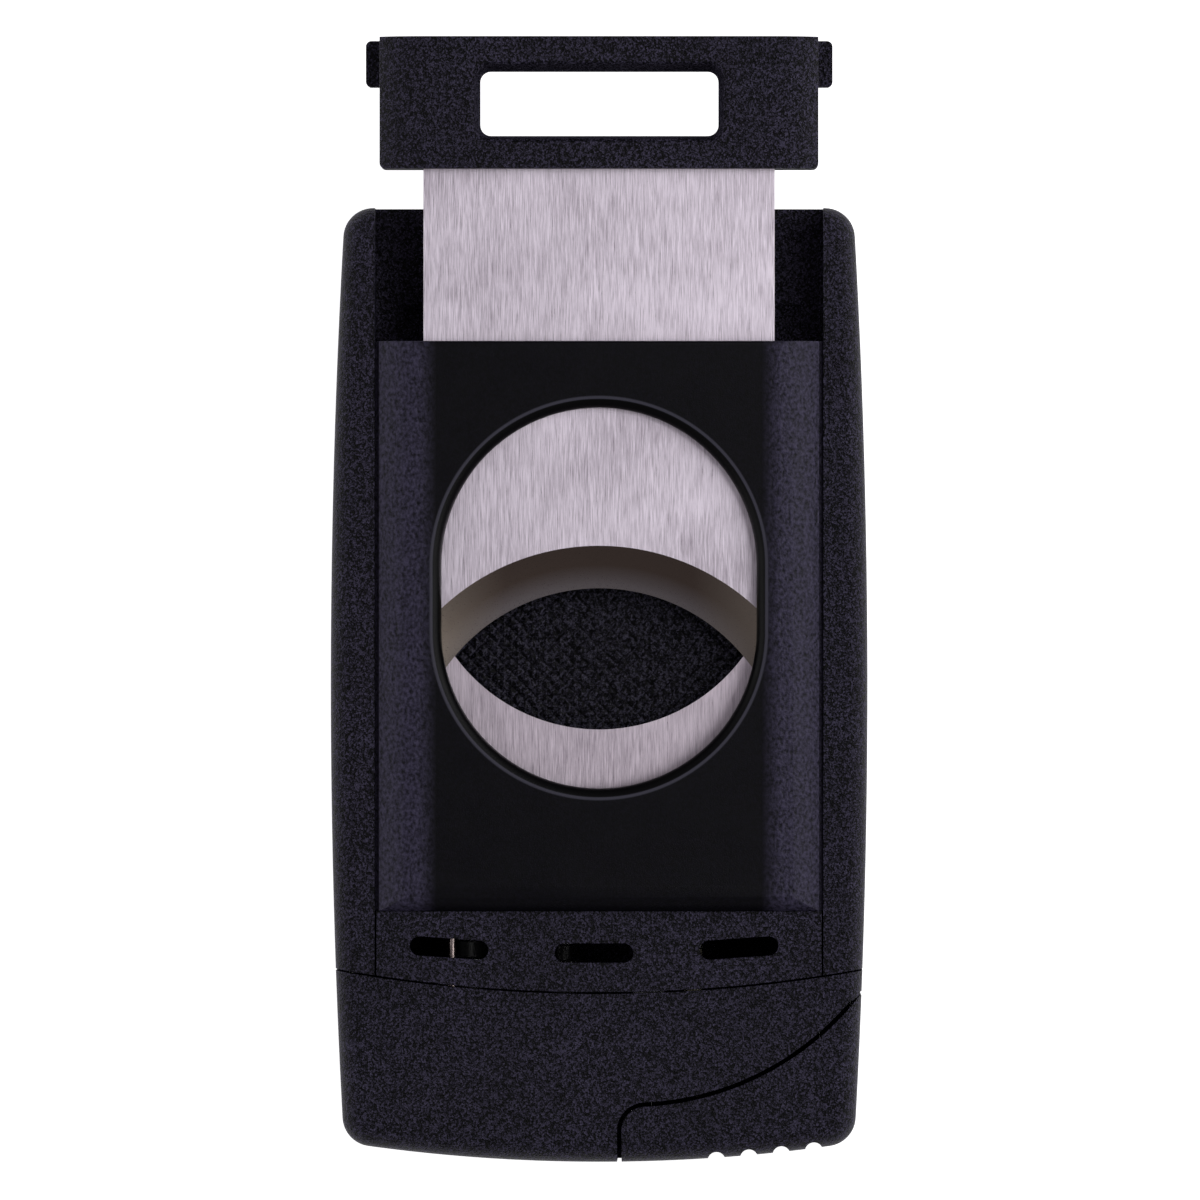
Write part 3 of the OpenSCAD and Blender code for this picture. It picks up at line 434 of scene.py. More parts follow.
@dataclass(frozen=True)
class PlateCoat:
    """Satin lacquer over a pressed plate: smooth in the middle, with a leather-like wrinkle on the flanks."""

    eye: EyeForm
    name: str = "satin_black_plate"
    low: str = "#050507"
    high: str = "#0b0a11"
    flank_low: str = "#100f16"
    flank_high: str = "#3f3b50"
    # painted shade: near-black for the eye's rounded rim
    rim: str = "#010102"
    # painted highlight: a thin lighter line along the rim's outer crest
    crest: str = "#3b3a44"
    wrinkle: float = 0.24
    flat_half: float = 14.0
    specular: float = 0.11

    def build(self) -> Material:
        """Makes the material."""
        p = Pattern(self.name)
        wrinkles = p.noise(self.wrinkle, 2.0, vector=p.stretched(p.where, (1.0, 0.75, 1.0)))
        flank = p.span(p.away("X"), 0.0, 1.0, (self.flat_half - 1.0) * MM, (self.flat_half + 0.5) * MM)
        height = p.maths("MULTIPLY_ADD", p.noise(0.12), 0.2, p.maths("MULTIPLY", wrinkles, flank))
        flat = p.ramp(p.noise(0.3, 4.0, 0.7), self.low, self.high, 0.35, 0.65)
        colour = p.mix(flank, flat, p.ramp(wrinkles, self.flank_low, self.flank_high, *NOISE_RANGE))
        # the eye's rim gets painted shade and a painted highlight
        p.feed(Base_Color=self.paint_rim_shade_and_highlight(p, colour),
               Roughness=p.span(p.noise(3.0, 4.0), 0.36, 0.46, *NOISE_RANGE),
               Normal=p.bump(height, 0.11, 0.9),
               Specular_IOR_Level=self.specular)
        return p.material

    def paint_rim_shade_and_highlight(self, p: Pattern, colour: Socket) -> Socket:
        """Paints shade on the eye's rounded rim and a painted highlight along its outer crest.

        Args:
            p: the material's pattern.
            colour: the coat's own colour.

        Returns:
            The colour with the rim's painted shade and highlight in it.
        """
        along = p.maths("ABSOLUTE", p.maths("SUBTRACT", p.axis("Y"), self.eye.middle * MM))
        past = p.maths("MAXIMUM", p.maths("SUBTRACT", along, self.eye.half_straight * MM), 0.0)
        reach = p.length(p.add("CombineXYZ", inputs={"X": p.axis("X"), "Y": past}).outputs[0])
        edge = self.eye.radius + self.eye.rim
        # mask of the painted shade on the rim
        rim = p.span(reach, 1.0, 0.0, (edge - 0.28) * MM, (edge - 0.18) * MM)
        outside = p.span(reach, 1.0, 0.0, (edge - 0.04) * MM, (edge + 0.08) * MM)
        # painted highlight in a thin band on the rim's outer crest
        highlighted = p.mix(p.maths("SUBTRACT", outside, rim), colour, linear(self.crest))
        return p.mix(rim, highlighted, linear(self.rim))


@dataclass(frozen=True)
class BrushedStainless:
    """Cold-rolled stainless brushed along the pull: long fine scratches draw highlights out sideways."""

    name: str = "brushed_stainless"
    low: str = "#a69ca7"
    high: str = "#e2d9e4"
    streak: float = 0.04
    streak_length: float = 1.8
    roughness: float = 0.34
    anisotropic: float = 0.75

    def build(self) -> Material:
        """Makes the material."""
        p = Pattern(self.name)
        ratio = self.streak / self.streak_length
        hair = p.noise(self.streak, 3.0, 0.7, p.stretched(p.where, (1.0, ratio, 1.0)))
        broad = p.noise(self.streak * 3.5, 3.0, 0.6, p.stretched(p.where, (1.0, ratio * 2, 1.0)))
        both = p.maths("MULTIPLY_ADD", broad, 0.4, hair)
        mixed = p.maths("MULTIPLY_ADD", p.noise(7.0, 2.0), 0.35, both)
        tangent = p.add("Tangent", {"direction_type": "UV_MAP", "uv_map": GRAIN_MAP})
        p.feed(Base_Color=p.ramp(mixed, self.low, self.high, 0.66, 1.08),
               Roughness=p.span(hair, self.roughness - 0.07, self.roughness + 0.09, *NOISE_RANGE),
               Normal=p.bump(hair, 0.004, 0.5), Tangent=tangent.outputs["Tangent"],
               Metallic=1.0, Anisotropic=self.anisotropic)
        return p.material


@dataclass(frozen=True)
class HollowGround:
    """A hollow-ground edge with painted reflections: darker where it starts, paler towards the cutting edge and at
    the blade's sides.
    """

    name: str = "hollow_ground_painted_reflection"
    dark_reflection: str = "#5c5049"
    pale_reflection: str = "#787273"
    # painted reflection: the colour that the bevel takes towards the blade's sides
    side: str = "#8c8277"
    edge_r: float = 15.0
    width: float = 3.4
    centre_y: float = -7.26
    roughness: float = 0.3

    def build(self) -> Material:
        """Makes the material."""
        p = Pattern(self.name)
        centred = p.add("VectorMath", {"operation": "SUBTRACT"}, {
            0: p.where, 1: (0.0, self.centre_y * MM, 0.0)}).outputs["Vector"]
        # painted reflection: darker where the bevel starts, paler towards the cutting edge
        depth = p.span(p.length(p.stretched(centred, (1.0, 1.0, 0.0))), 0.0, 1.0,
                       (self.edge_r + self.width * 0.1) * MM, (self.edge_r + self.width * 0.55) * MM)
        # painted reflection: paler towards the blade's sides
        ends = p.span(p.away("X"), 0.0, 0.85, 7.5 * MM, 13.0 * MM)
        p.feed(Base_Color=p.mix(ends, p.ramp(depth, self.pale_reflection, self.dark_reflection), linear(self.side)),
               Roughness=p.span(p.noise(0.09, 3.0, 0.7), self.roughness - 0.05,
                                self.roughness + 0.08, *NOISE_RANGE),
               Metallic=1.0)
        return p.material


@dataclass(frozen=True)
class Metal:
    """A plain bare or plated metal, with fine mottling and handling marks."""

    name: str
    low: str
    high: str
    roughness: float = 0.3
    mottle: float = 1.2
    marks: float = 0.1
    depth: float = 0.01

    def build(self) -> Material:
        """Makes the material."""
        p = Pattern(self.name)
        marks = p.noise(self.marks, 3.0, 0.7)
        p.feed(Base_Color=p.ramp(p.noise(self.mottle, 4.0), self.low, self.high, *NOISE_RANGE),
               Roughness=p.span(marks, self.roughness - 0.08, self.roughness + 0.1, *NOISE_RANGE),
               Normal=p.bump(marks, self.depth, 0.6), Metallic=1.0)
        return p.material


@dataclass(frozen=True)
class Moulded:
    """A moulded plastic or rubber, with the fine texture of its mould."""

    name: str
    low: str
    high: str
    roughness: float = 0.5
    grain: float = 0.15
    depth: float = 0.015

    def build(self) -> Material:
        """Makes the material."""
        p = Pattern(self.name)
        grain = p.noise(self.grain)
        p.feed(Base_Color=p.ramp(p.noise(2.5), self.low, self.high, *NOISE_RANGE),
               Roughness=p.span(grain, self.roughness - 0.08, self.roughness + 0.08, *NOISE_RANGE),
               Normal=p.bump(grain, self.depth, 0.7))
        return p.material


class Finishes:
    """Every finish of the object, built once and kept by its material slot."""

    def __init__(self) -> None:
        """Builds the materials."""
        self.by_slot: dict[str, Material] = {slot: finish.build() for slot, finish in {
            "powder_coat": PowderCoat(),
            "plate_coat": PlateCoat(EyeForm.in_plate()),
            "pad_rubber": PowderCoat("knurled_rubber", "#020203", "#403e4c", 0.17, 0.11, 0.5, 0.12, 0.03),
            "blade_steel": BrushedStainless(),
            "spring_steel": Metal("satin_spring_steel", "#8f9094", "#c4c5ca", 0.28),
            "black_screws": Metal("black_oxide_steel", "#0f0f12", "#1c1c20", 0.4),
            "brass": Metal("nickel_plated_brass", "#8d7f7b", "#bdaeaa", 0.26),
            "adjuster_metal": Metal("anodised_aluminium", "#8f9196", "#b9bbc0", 0.35),
            # painted shade: the zinc parts are near-black so the burner seen through the lid's gap reads as shade
            "cast_zinc": Metal("zinc_darkened_as_shade", "#0a0a0b", "#131314", 0.6, 0.8, 0.25, 0.03),
            "tank_plastic": Moulded("smoke_nylon", "#3a3f47", "#555b64", 0.32),
            "igniter_plastic": Moulded("igniter_polyamide", "#08080a", "#101013", 0.5),
            "plunger_plastic": Moulded("black_acetal", "#151518", "#222226", 0.4),
            "tube_plastic": Moulded("clear_tube_plastic", "#aaa592", "#cdc8b6", 0.25),
            "seal_rubber": Moulded("nitrile_rubber", "#0e0e10", "#19191c", 0.6),
        }.items()}
        self.bevel = HollowGround().build()
        # painted light: a lighter copy of the powder coat, without sheen, for the finger window's walls
        self.lit_wall_coat = PowderCoat("window_wall_painted_light", "#0a0a0d", "#5a5668", specular=0.0).build()
        self.lower_steel = BrushedStainless("brushed_stainless_shaded", "#988e98", "#d0c5cf").build()


def give_brushing_map(piece: Solid) -> None:
    """Adds the map that says which way a blade is brushed: U across the pull, V along it."""
    layer = piece.data.uv_layers.new(name=GRAIN_MAP)
    for loop in piece.data.loops:
        x, y, _ = piece.data.vertices[loop.vertex_index].co
        layer.data[loop.index].uv = (x * 10, y * 10)


def settle(piece: Solid, body: str, node: str, finishes: Finishes, material: Material | None = None) -> None:
    """Puts a finished piece on its body, in place of its CAD node, with the node's slot.

    Args:
        piece: the piece.
        body: the body that it moves with.
        node: the CAD node that it stands for.
        finishes: the finishes by slot.
        material: its main finish, when that isn't the slot's own.
    """
    slot = SLOT_OF[node]
    material = material or finishes.by_slot[slot]
    if piece.data.materials:
        piece.data.materials[0] = material
    else:
        piece.data.materials.append(material)
    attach(piece, body)
    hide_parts(node)
    LOG.info("%s: %d faces, rides on %s", piece.name, len(piece.data.polygons), body)


# --- the object's form


@dataclass(frozen=True)
class BodyForm:
    """The body's outer form, in millimetres: bowed sides, a crowned end and rounded edges."""

    width: float
    length: float
    thickness: float
    joint_y: float
    recess_x: float
    floor_z: float
    hinge: Point
    side_r: float = 640.0
    crown_r: float = 136.0
    corner_r: float = 2.4
    front_fillet: float = 1.8
    back_fillet: float = 1.4
    wall: float = 1.2
    rear_t: float = 1.6
    joint_r: float = 120.0

    @classmethod
    def from_frame(cls) -> "BodyForm":
        """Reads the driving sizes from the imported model."""
        hood_low, hood_high = node_mm("hood")
        rail_low, rail_high = node_mm("right_rail")
        cover_low, _ = node_mm("rear_cover")
        pin_low, pin_high = node_mm("hinge_pin")
        bed_low, _ = node_mm("cutter_bed")
        pin = (pin_low + pin_high) / 2
        return cls(width=2 * rail_high.x, length=rail_high.y - hood_low.y, thickness=hood_high.z,
                   joint_y=cover_low.y, recess_x=rail_low.x, floor_z=bed_low.z, hinge=(pin.x, pin.y))

    @property
    def half(self) -> float:
        """Half the body's length."""
        return self.length / 2

    @property
    def side_centre(self) -> Point:
        """Centre of the right side's arc."""
        return (self.width / 2 - self.side_r, 0.0)

    @property
    def crown_centre(self) -> Point:
        """Centre of the crown's arc."""
        return (0.0, self.crown_r - self.half)

    @property
    def joint_centre(self) -> Point:
        """Centre of the joint line's arc."""
        return (0.0, self.joint_y + self.joint_r)

    def crown_y(self, x: float) -> float:
        """Height of the crown's edge at a place across the body."""
        return self.crown_centre[1] - math.sqrt(self.crown_r ** 2 - x ** 2)

    def outline(self, inset: float = 0.0) -> list[Point]:
        """The body's outline seen from the front.

        Args:
            inset: how far it is drawn in, in millimetres.

        Returns:
            Its points, anticlockwise from the middle of the crown.
        """
        side, crown = self.side_centre, self.crown_centre
        top_y = self.half - self.corner_r
        top = (side[0] + math.sqrt((self.side_r - self.corner_r) ** 2 - top_y ** 2), top_y)
        reach_side, reach_crown = self.side_r - self.corner_r, self.crown_r - self.corner_r
        apart = math.dist(side, crown)
        ux, uy = (crown[0] - side[0]) / apart, (crown[1] - side[1]) / apart
        along = (apart ** 2 + reach_side ** 2 - reach_crown ** 2) / (2 * apart)
        off = math.sqrt(reach_side ** 2 - along ** 2)
        low = (side[0] + along * ux + off * uy, side[1] + along * uy - off * ux)
        side_low = math.degrees(math.atan2(low[1] - side[1], low[0] - side[0]))
        side_top = math.degrees(math.atan2(top[1] - side[1], top[0] - side[0]))
        crown_end = math.degrees(math.atan2(low[1] - crown[1], low[0] - crown[0]))
        half = arc(crown, self.crown_r - inset, -90, crown_end, 28)
        half += arc(low, self.corner_r - inset, crown_end, side_low, 12)[1:]
        half += arc(side, self.side_r - inset, side_low, side_top, 24)[1:]
        half += arc(top, self.corner_r - inset, side_top, 90, 12)[1:]
        return half + [(-x, y) for x, y in reversed(half[1:])]

    def envelope(self, name: str, steps: int = 9) -> Solid:
        """The whole outer form as one solid.

        Args:
            name: the object's name.
            steps: segments round each edge.

        Returns:
            The solid.
        """
        turns = [math.radians(90 * i / steps) for i in range(steps + 1)]
        back, front = self.back_fillet, self.front_fillet
        rings = [(self.outline(back * (1 - math.sin(t))), back * (1 - math.cos(t))) for t in turns]
        rings += [(self.outline(front * (1 - math.sin(t))), self.thickness - front * (1 - math.cos(t)))
                  for t in reversed(turns)]
        return loft(name, rings)

    def above_joint(self, margin: float, low_z: float, high_z: float) -> Solid:
        """Everything on the pull end's side of the joint line, as a solid."""
        sweep = 14.0
        far = self.half + 5
        edge = arc(self.joint_centre, self.joint_r - margin, -90 - sweep, -90 + sweep, 72)
        return prism("above_joint", edge + [(edge[-1][0], far), (edge[0][0], far)], low_z, high_z)


@dataclass(frozen=True)
class LidForm:
    """The corner lid's area seen from the front, in millimetres."""

    body: BodyForm
    gap: float = 0.36
    free_x: float = 1.62
    edge_r: float = 22.96
    edge_rise: float = 4.62
    corner_r: float = 2.1
    tip_drop: float = 0.75
    boss_r: float = 1.45
    hollow_r: float = 1.55
    lap_reach: float = 0.9
    lap_w: float = 2.1
    lap_arm_x: float = 4.15
    lap_arm_h: float = 1.2

    def lap(self, grow: float, top_z: float) -> Solid:
        """The hood's post behind the lid's free end, with its arm under the lid's corner.

        Args:
            grow: how far it is grown on every side.
            top_z: height of its front.

        Returns:
            The solid.
        """
        x1 = self.free_x + self.lap_reach + grow
        x0, low_y = x1 - self.lap_w - 2 * grow, -self.body.half - 1
        top = self.lap_top + grow
        arm_y = self.lap_top - self.lap_arm_h - grow
        return prism("lap_post", [(x0, low_y), (x1, low_y), (x1, arm_y), (self.lap_arm_x + grow, arm_y),
                                  (self.lap_arm_x + grow, top), (x0, top)], -OVERSHOOT, top_z)

    @property
    def corner(self) -> Point:
        """Centre of the lid's inner corner."""
        centre = self.edge_centre
        x = self.free_x + self.corner_r
        return (x, centre[1] - math.sqrt((self.edge_r + self.corner_r) ** 2 - (x - centre[0]) ** 2))

    @property
    def edge_centre(self) -> Point:
        """Centre of the long hollow edge."""
        return (self.free_x + 1, -self.body.half + self.edge_rise + self.edge_r)

    @property
    def lap_top(self) -> float:
        """Top of the hood's post."""
        return self.corner[1] + self.corner_r + 0.4

    def area(self, grow: float) -> list[Point]:
        """The lid's outline, left open past the body.

        Args:
            grow: how far it is grown on every side.

        Returns:
            Its points.
        """
        centre, corner = self.edge_centre, self.corner
        turn = math.degrees(math.atan2(centre[1] - corner[1], centre[0] - corner[0]))
        start = math.degrees(math.atan2(corner[1] - centre[1], corner[0] - centre[0]))
        radius = self.edge_r - grow
        tip_y = self.body.hinge[1] - self.tip_drop + grow
        end = math.degrees(math.asin((tip_y - centre[1]) / radius))
        low_y, far_x = -self.body.half - 5, self.body.width
        edge = arc(corner, self.corner_r + grow, 180, turn, 16) + arc(centre, radius, start, end, 72)[1:]
        return [(self.free_x - grow, low_y), *edge, (far_x, tip_y), (far_x, low_y)]


@dataclass(frozen=True)
class PlateForm:
    """Cross-section that the cover plate and the handle share: a flat middle and round flanks."""

    top: float
    flat_half: float = 14.0
    flank_drop: float = 1.4
    flank_w: float = 3.6

    def profile(self, half_width: float, bottom: float) -> list[Point]:
        """The cross-section.

        Args:
            half_width: half the piece's width.
            bottom: height of its underside.

        Returns:
            Points in X and Z, anticlockwise.
        """
        radius = (self.flank_w ** 2 + self.flank_drop ** 2) / (2 * self.flank_drop)
        reach = half_width - self.flat_half
        start = math.degrees(math.acos(reach / radius))
        right = arc((self.flat_half, self.top - radius), radius, start, 90, 14)
        left = [(-x, z) for x, z in reversed(right)]
        return [(-half_width, bottom), (half_width, bottom), *right, *left]


# --- sub-assemblies


@dataclass
class Casing:
    """The fixed shells: main body, rails, rear cover and hood."""

    form: BodyForm
    lid: LidForm
    finishes: Finishes
    screw_head_r: float = 1.65
    screw_head_t: float = 0.95
    edge_break: float = 0.14
    seam: float = 0.16
    neck_gap: float = 0.14

    def build(self) -> None:
        """Makes and dresses every shell."""
        for piece, node in (
                (self.main_body(), "main_body"), (self.rail("left_rail_shell", -1), "left_rail"),
                (self.rail("right_rail_shell", 1), "right_rail"), (self.rear_cover(), "rear_cover"),
                (self.hood(), "hood")):
            settle(piece, "root", node, self.finishes)

    def rail(self, name: str, side: int) -> Solid:
        """One side rail.

        Args:
            name: the piece's name.
            side: 1 for the right one, -1 for the left one.

        Returns:
            The piece.
        """
        form = self.form
        made = form.envelope(name)
        xs = sorted((side * form.recess_x, side * form.width))
        combine(made, Operation.MEET,
                box("keep", (xs[0], -form.half, form.rear_t), (xs[1], form.half + 5, form.thickness + 5)),
                form.above_joint(0.0, 0.0, form.thickness + OVERSHOOT))
        low, high = node_mm("slide_handle")
        ear_z, ear_t, clear, pull, ear_l = low.z, 2.0, 0.2, 13.7, 3.7
        ear_top = high.y - 0.25 - pull
        xs = sorted((side * (form.recess_x - 1), side * (high.x + clear)))
        combine(made, Operation.CUT,
                box("ear_notch", (xs[0], ear_top - ear_l - clear, ear_z - clear),
                    (xs[1], form.half + 5, ear_z + ear_t + clear)))
        soften(made, self.edge_break)
        return made

    def pockets(self, node: str) -> list[Solid]:
        """Round pockets for the screws of a CAD node."""
        return [rod("screw_pocket", centre, self.screw_head_r, -OVERSHOOT, self.screw_head_t)
                for centre in island_centres(node)]

    def rear_cover(self) -> Solid:
        """The rear cover, with its screw pockets."""
        form = self.form
        made = form.envelope("rear_cover_plate")
        combine(made, Operation.MEET,
                box("keep", (-form.width, -form.half - 5, -OVERSHOOT),
                    (form.width, form.half + 5, form.rear_t)),
                form.above_joint(0.0, -OVERSHOOT, form.thickness))
        combine(made, Operation.CUT, *self.pockets("rear_screws"))
        soften(made, self.edge_break)
        return made

    def hood(self) -> Solid:
        """The hood, hollow, with the lid's corner cut out."""
        form, lid = self.form, self.lid
        over = form.thickness + OVERSHOOT
        made = form.envelope("hood_shell")
        corner = prism("lid_corner", lid.area(lid.gap / 2), -OVERSHOOT, over)
        combine(corner, Operation.CUT, rod("hinge_boss", form.hinge, lid.boss_r, -2 * OVERSHOOT, over + 1))
        cavity = prism("cavity", form.outline(form.wall), form.wall, form.thickness - form.wall)
        combine(cavity, Operation.CUT, rod("hinge_boss", form.hinge, lid.boss_r, 0, over))
        combine(made, Operation.CUT, form.above_joint(-self.seam, -OVERSHOOT, over), corner, cavity)
        post = form.envelope("lap_post_form")
        combine(post, Operation.MEET, lid.lap(0.0, form.thickness / 2))
        combine(made, Operation.JOIN, post)
        bracket_low, bracket_high = node_mm("cap_bracket")
        spring_low, _ = node_mm("flap_spring")
        reach, side, rise, knuckle_r, below, above = 7.0, 1.05, 0.3, 1.1, 0.1, 0.4
        low_z, high_z = spring_low.z - below, bracket_high.z + above
        x, y = form.hinge
        combine(made, Operation.CUT,
                box("bracket_slot", (x - reach, y - reach, low_z), (x + side, y + rise, high_z)),
                rod("knuckle_slot", form.hinge, knuckle_r, low_z, high_z),
                *self.pockets("hood_screws"))
        soften(made, self.edge_break)
        return made

    def main_body(self) -> Solid:
        """The main body: tub, neck panel with its vents, and the recess floor with its groove."""
        form = self.form
        bed_low, bed_high = node_mm("cutter_bed")
        edge_x, inner_x = form.recess_x, form.recess_x - form.wall
        bed_gap, end_wall, gap = 0.05, 1.3, self.neck_gap
        neck_y, floor_z, top_z = bed_low.y - bed_gap, form.floor_z, form.thickness
        made = box("main_body_shell", (-edge_x, -form.half, form.rear_t), (edge_x, form.half, floor_z))
        combine(made, Operation.JOIN, box("neck", (gap - edge_x, -form.half, form.rear_t),
                                          (edge_x - gap, neck_y, top_z)))
        combine(made, Operation.MEET, form.above_joint(0.0, 0.0, top_z + OVERSHOOT))
        cavity_top = floor_z - form.wall
        combine(made, Operation.CUT,
                box("tub", (-inner_x, -form.half, 0), (inner_x, form.half - end_wall, cavity_top)),
                box("neck_hollow", (-inner_x, -form.half, 0),
                    (inner_x, neck_y - form.wall, top_z - form.wall)),
                *self.vents(neck_y), *self.groove(bed_high.y))
        combine(made, Operation.CUT, *self.end_holes())
        burner_low, burner_high = node_mm("burner_block")
        lap, crown_gap, tongue_gap, root_gap, neck_lap = 0.2, 5.2, 0.6, 0.8, 0.4
        combine(made, Operation.JOIN,
                box("chassis_tongue", (-inner_x - lap, -form.half + crown_gap, form.rear_t),
                    (burner_high.x + lap, form.hinge[1] - tongue_gap, burner_low.z)),
                box("chassis_root", (-inner_x - lap, form.hinge[1] - root_gap, form.rear_t),
                    (inner_x + lap, neck_y - neck_lap, burner_low.z)))
        ledge_w, ledge_end, ledge_h = 0.45, 6.9, 0.8
        for side in (-1, 1):
            xs = sorted((side * edge_x, side * (edge_x - ledge_w)))
            combine(made, Operation.JOIN,
                    box("ledge", (xs[0], bed_high.y + lap, floor_z - lap),
                        (xs[1], bed_high.y + ledge_end, floor_z + ledge_h)))
        soften(made, 0.1)
        return made

    def vents(self, neck_y: float) -> list[Solid]:
        """Three round-ended vent slots, on an arc that follows the joint line."""
        length, width, pitch, first_drop, rise, tilt = 6.3, 1.55, 11.6, 3.34, 0.4, 4.0
        made: list[Solid] = []
        for i in (-1, 0, 1):
            outline = rounded_rectangle((-length / 2, -width / 2), (length / 2, width / 2),
                                        width / 2 - 0.001, 10)
            a = math.radians(tilt * i)
            cx, cy = -0.4 + pitch * i, neck_y - first_drop + rise * abs(i)
            turned = [(cx + x * math.cos(a) - y * math.sin(a), cy + x * math.sin(a) + y * math.cos(a))
                      for x, y in outline]
            made.append(prism("vent", turned, self.form.thickness - self.form.wall - 0.5,
                              self.form.thickness + OVERSHOOT))
        return made

    def groove(self, plate_y: float) -> list[Solid]:
        """The stepped groove across the recess floor."""
        x, z = self.form.recess_x, self.form.floor_z
        steps = (("groove", 1.75, 1.1, 3.0, 0.35, 0.5), ("groove_step", 2.2, 1.7, 2.7, 0.7, 0.0))
        return [box(name, (side - x, plate_y + near, z - depth), (x - side, plate_y + far, z + above))
                for name, side, near, far, depth, above in steps]

    def end_holes(self) -> list[Solid]:
        """The filler's and the flame adjuster's holes in the end wall."""
        made: list[Solid] = []
        for node, radius in (("refill_valve", 2.05), ("flame_adjuster", 2.6)):
            low, high = node_mm(node)
            middle = (low + high) / 2
            made.append(rod("end_hole", (middle.x, middle.z), radius,
                            self.form.half - 2 * OVERSHOOT, self.form.half + OVERSHOOT, Axis.Y))
        return made


def island_centres(node: str) -> list[Point]:
    """Centres of a CAD node's separate solids, in X and Y, in millimetres.

    Args:
        node: the CAD node's name.

    Returns:
        One point for each solid.
    """
    work = bmesh.new()
    work.from_mesh(frame["nodes"][node].data)
    bmesh.ops.remove_doubles(work, verts=work.verts, dist=1e-6)
    left, found = set(work.verts), []
    while left:
        island, queue = set(), [next(iter(left))]
        while queue:
            v = queue.pop()
            if v not in island:
                island.add(v)
                queue += [e.other_vert(v) for e in v.link_edges]
        left -= island
        xs, ys = [v.co.x for v in island], [v.co.y for v in island]
        found.append(((min(xs) + max(xs)) / 2 / MM, (min(ys) + max(ys)) / 2 / MM))
    work.free()
    return sorted(found)


@dataclass
class CornerLid:
    """The roll-back corner lid with its thumb notches and knuckle."""

    form: BodyForm
    lid: LidForm
    finishes: Finishes
    notches: int = 4
    notch_x: float = 9.4
    notch_pitch: float = 2.6
    notch_r: float = 0.7
    notch_sink: float = 0.2

    def build(self) -> None:
        """Makes and dresses the lid."""
        settle(self.shell(), "lid", "flip_cap", self.finishes)

    def shell(self) -> Solid:
        """The lid's shell."""
        form, lid = self.form, self.lid
        over = form.thickness + OVERSHOOT
        made = form.envelope("corner_lid_shell")
        combine(made, Operation.MEET, prism("lid_area", lid.area(-lid.gap / 2), -OVERSHOOT, over))
        combine(made, Operation.CUT,
                rod("hinge_hollow", form.hinge, lid.hollow_r, -OVERSHOOT, over),
                prism("cavity", form.outline(form.wall), form.wall, form.thickness - form.wall))
        combine(made, Operation.CUT, lid.lap(lid.gap, form.thickness / 2 + lid.gap / 2))
        for i in range(self.notches):
            x = self.notch_x + i * self.notch_pitch
            combine(made, Operation.CUT,
                    rod("thumb_notch", (x, form.crown_y(x) - self.notch_sink), self.notch_r, -OVERSHOOT, over,
                        steps=40))
        bracket_low, _ = node_mm("cap_bracket")
        x, y = form.hinge
        low_z, high_z = 5.2, bracket_low.z
        direction = math.radians(-120)
        ux, uy = math.cos(direction), math.sin(direction)
        half, reach = 0.6, 2.9
        arm = [(x - uy * half, y + ux * half), (x + uy * half, y - ux * half),
               (x + uy * half + ux * reach, y - ux * half + uy * reach),
               (x - uy * half + ux * reach, y + ux * half + uy * reach)]
        knuckle = rod("knuckle", form.hinge, 0.95, low_z, high_z)
        combine(knuckle, Operation.JOIN, prism("arm", arm, low_z, high_z),
                box("web", (x - 1.9, y - 8, low_z), (x + 0.5, y - 2, high_z)))
        combine(knuckle, Operation.CUT, rod("pin_bore", form.hinge, 0.53, 0, over))
        combine(made, Operation.JOIN, knuckle)
        soften(made, 0.14)
        return made


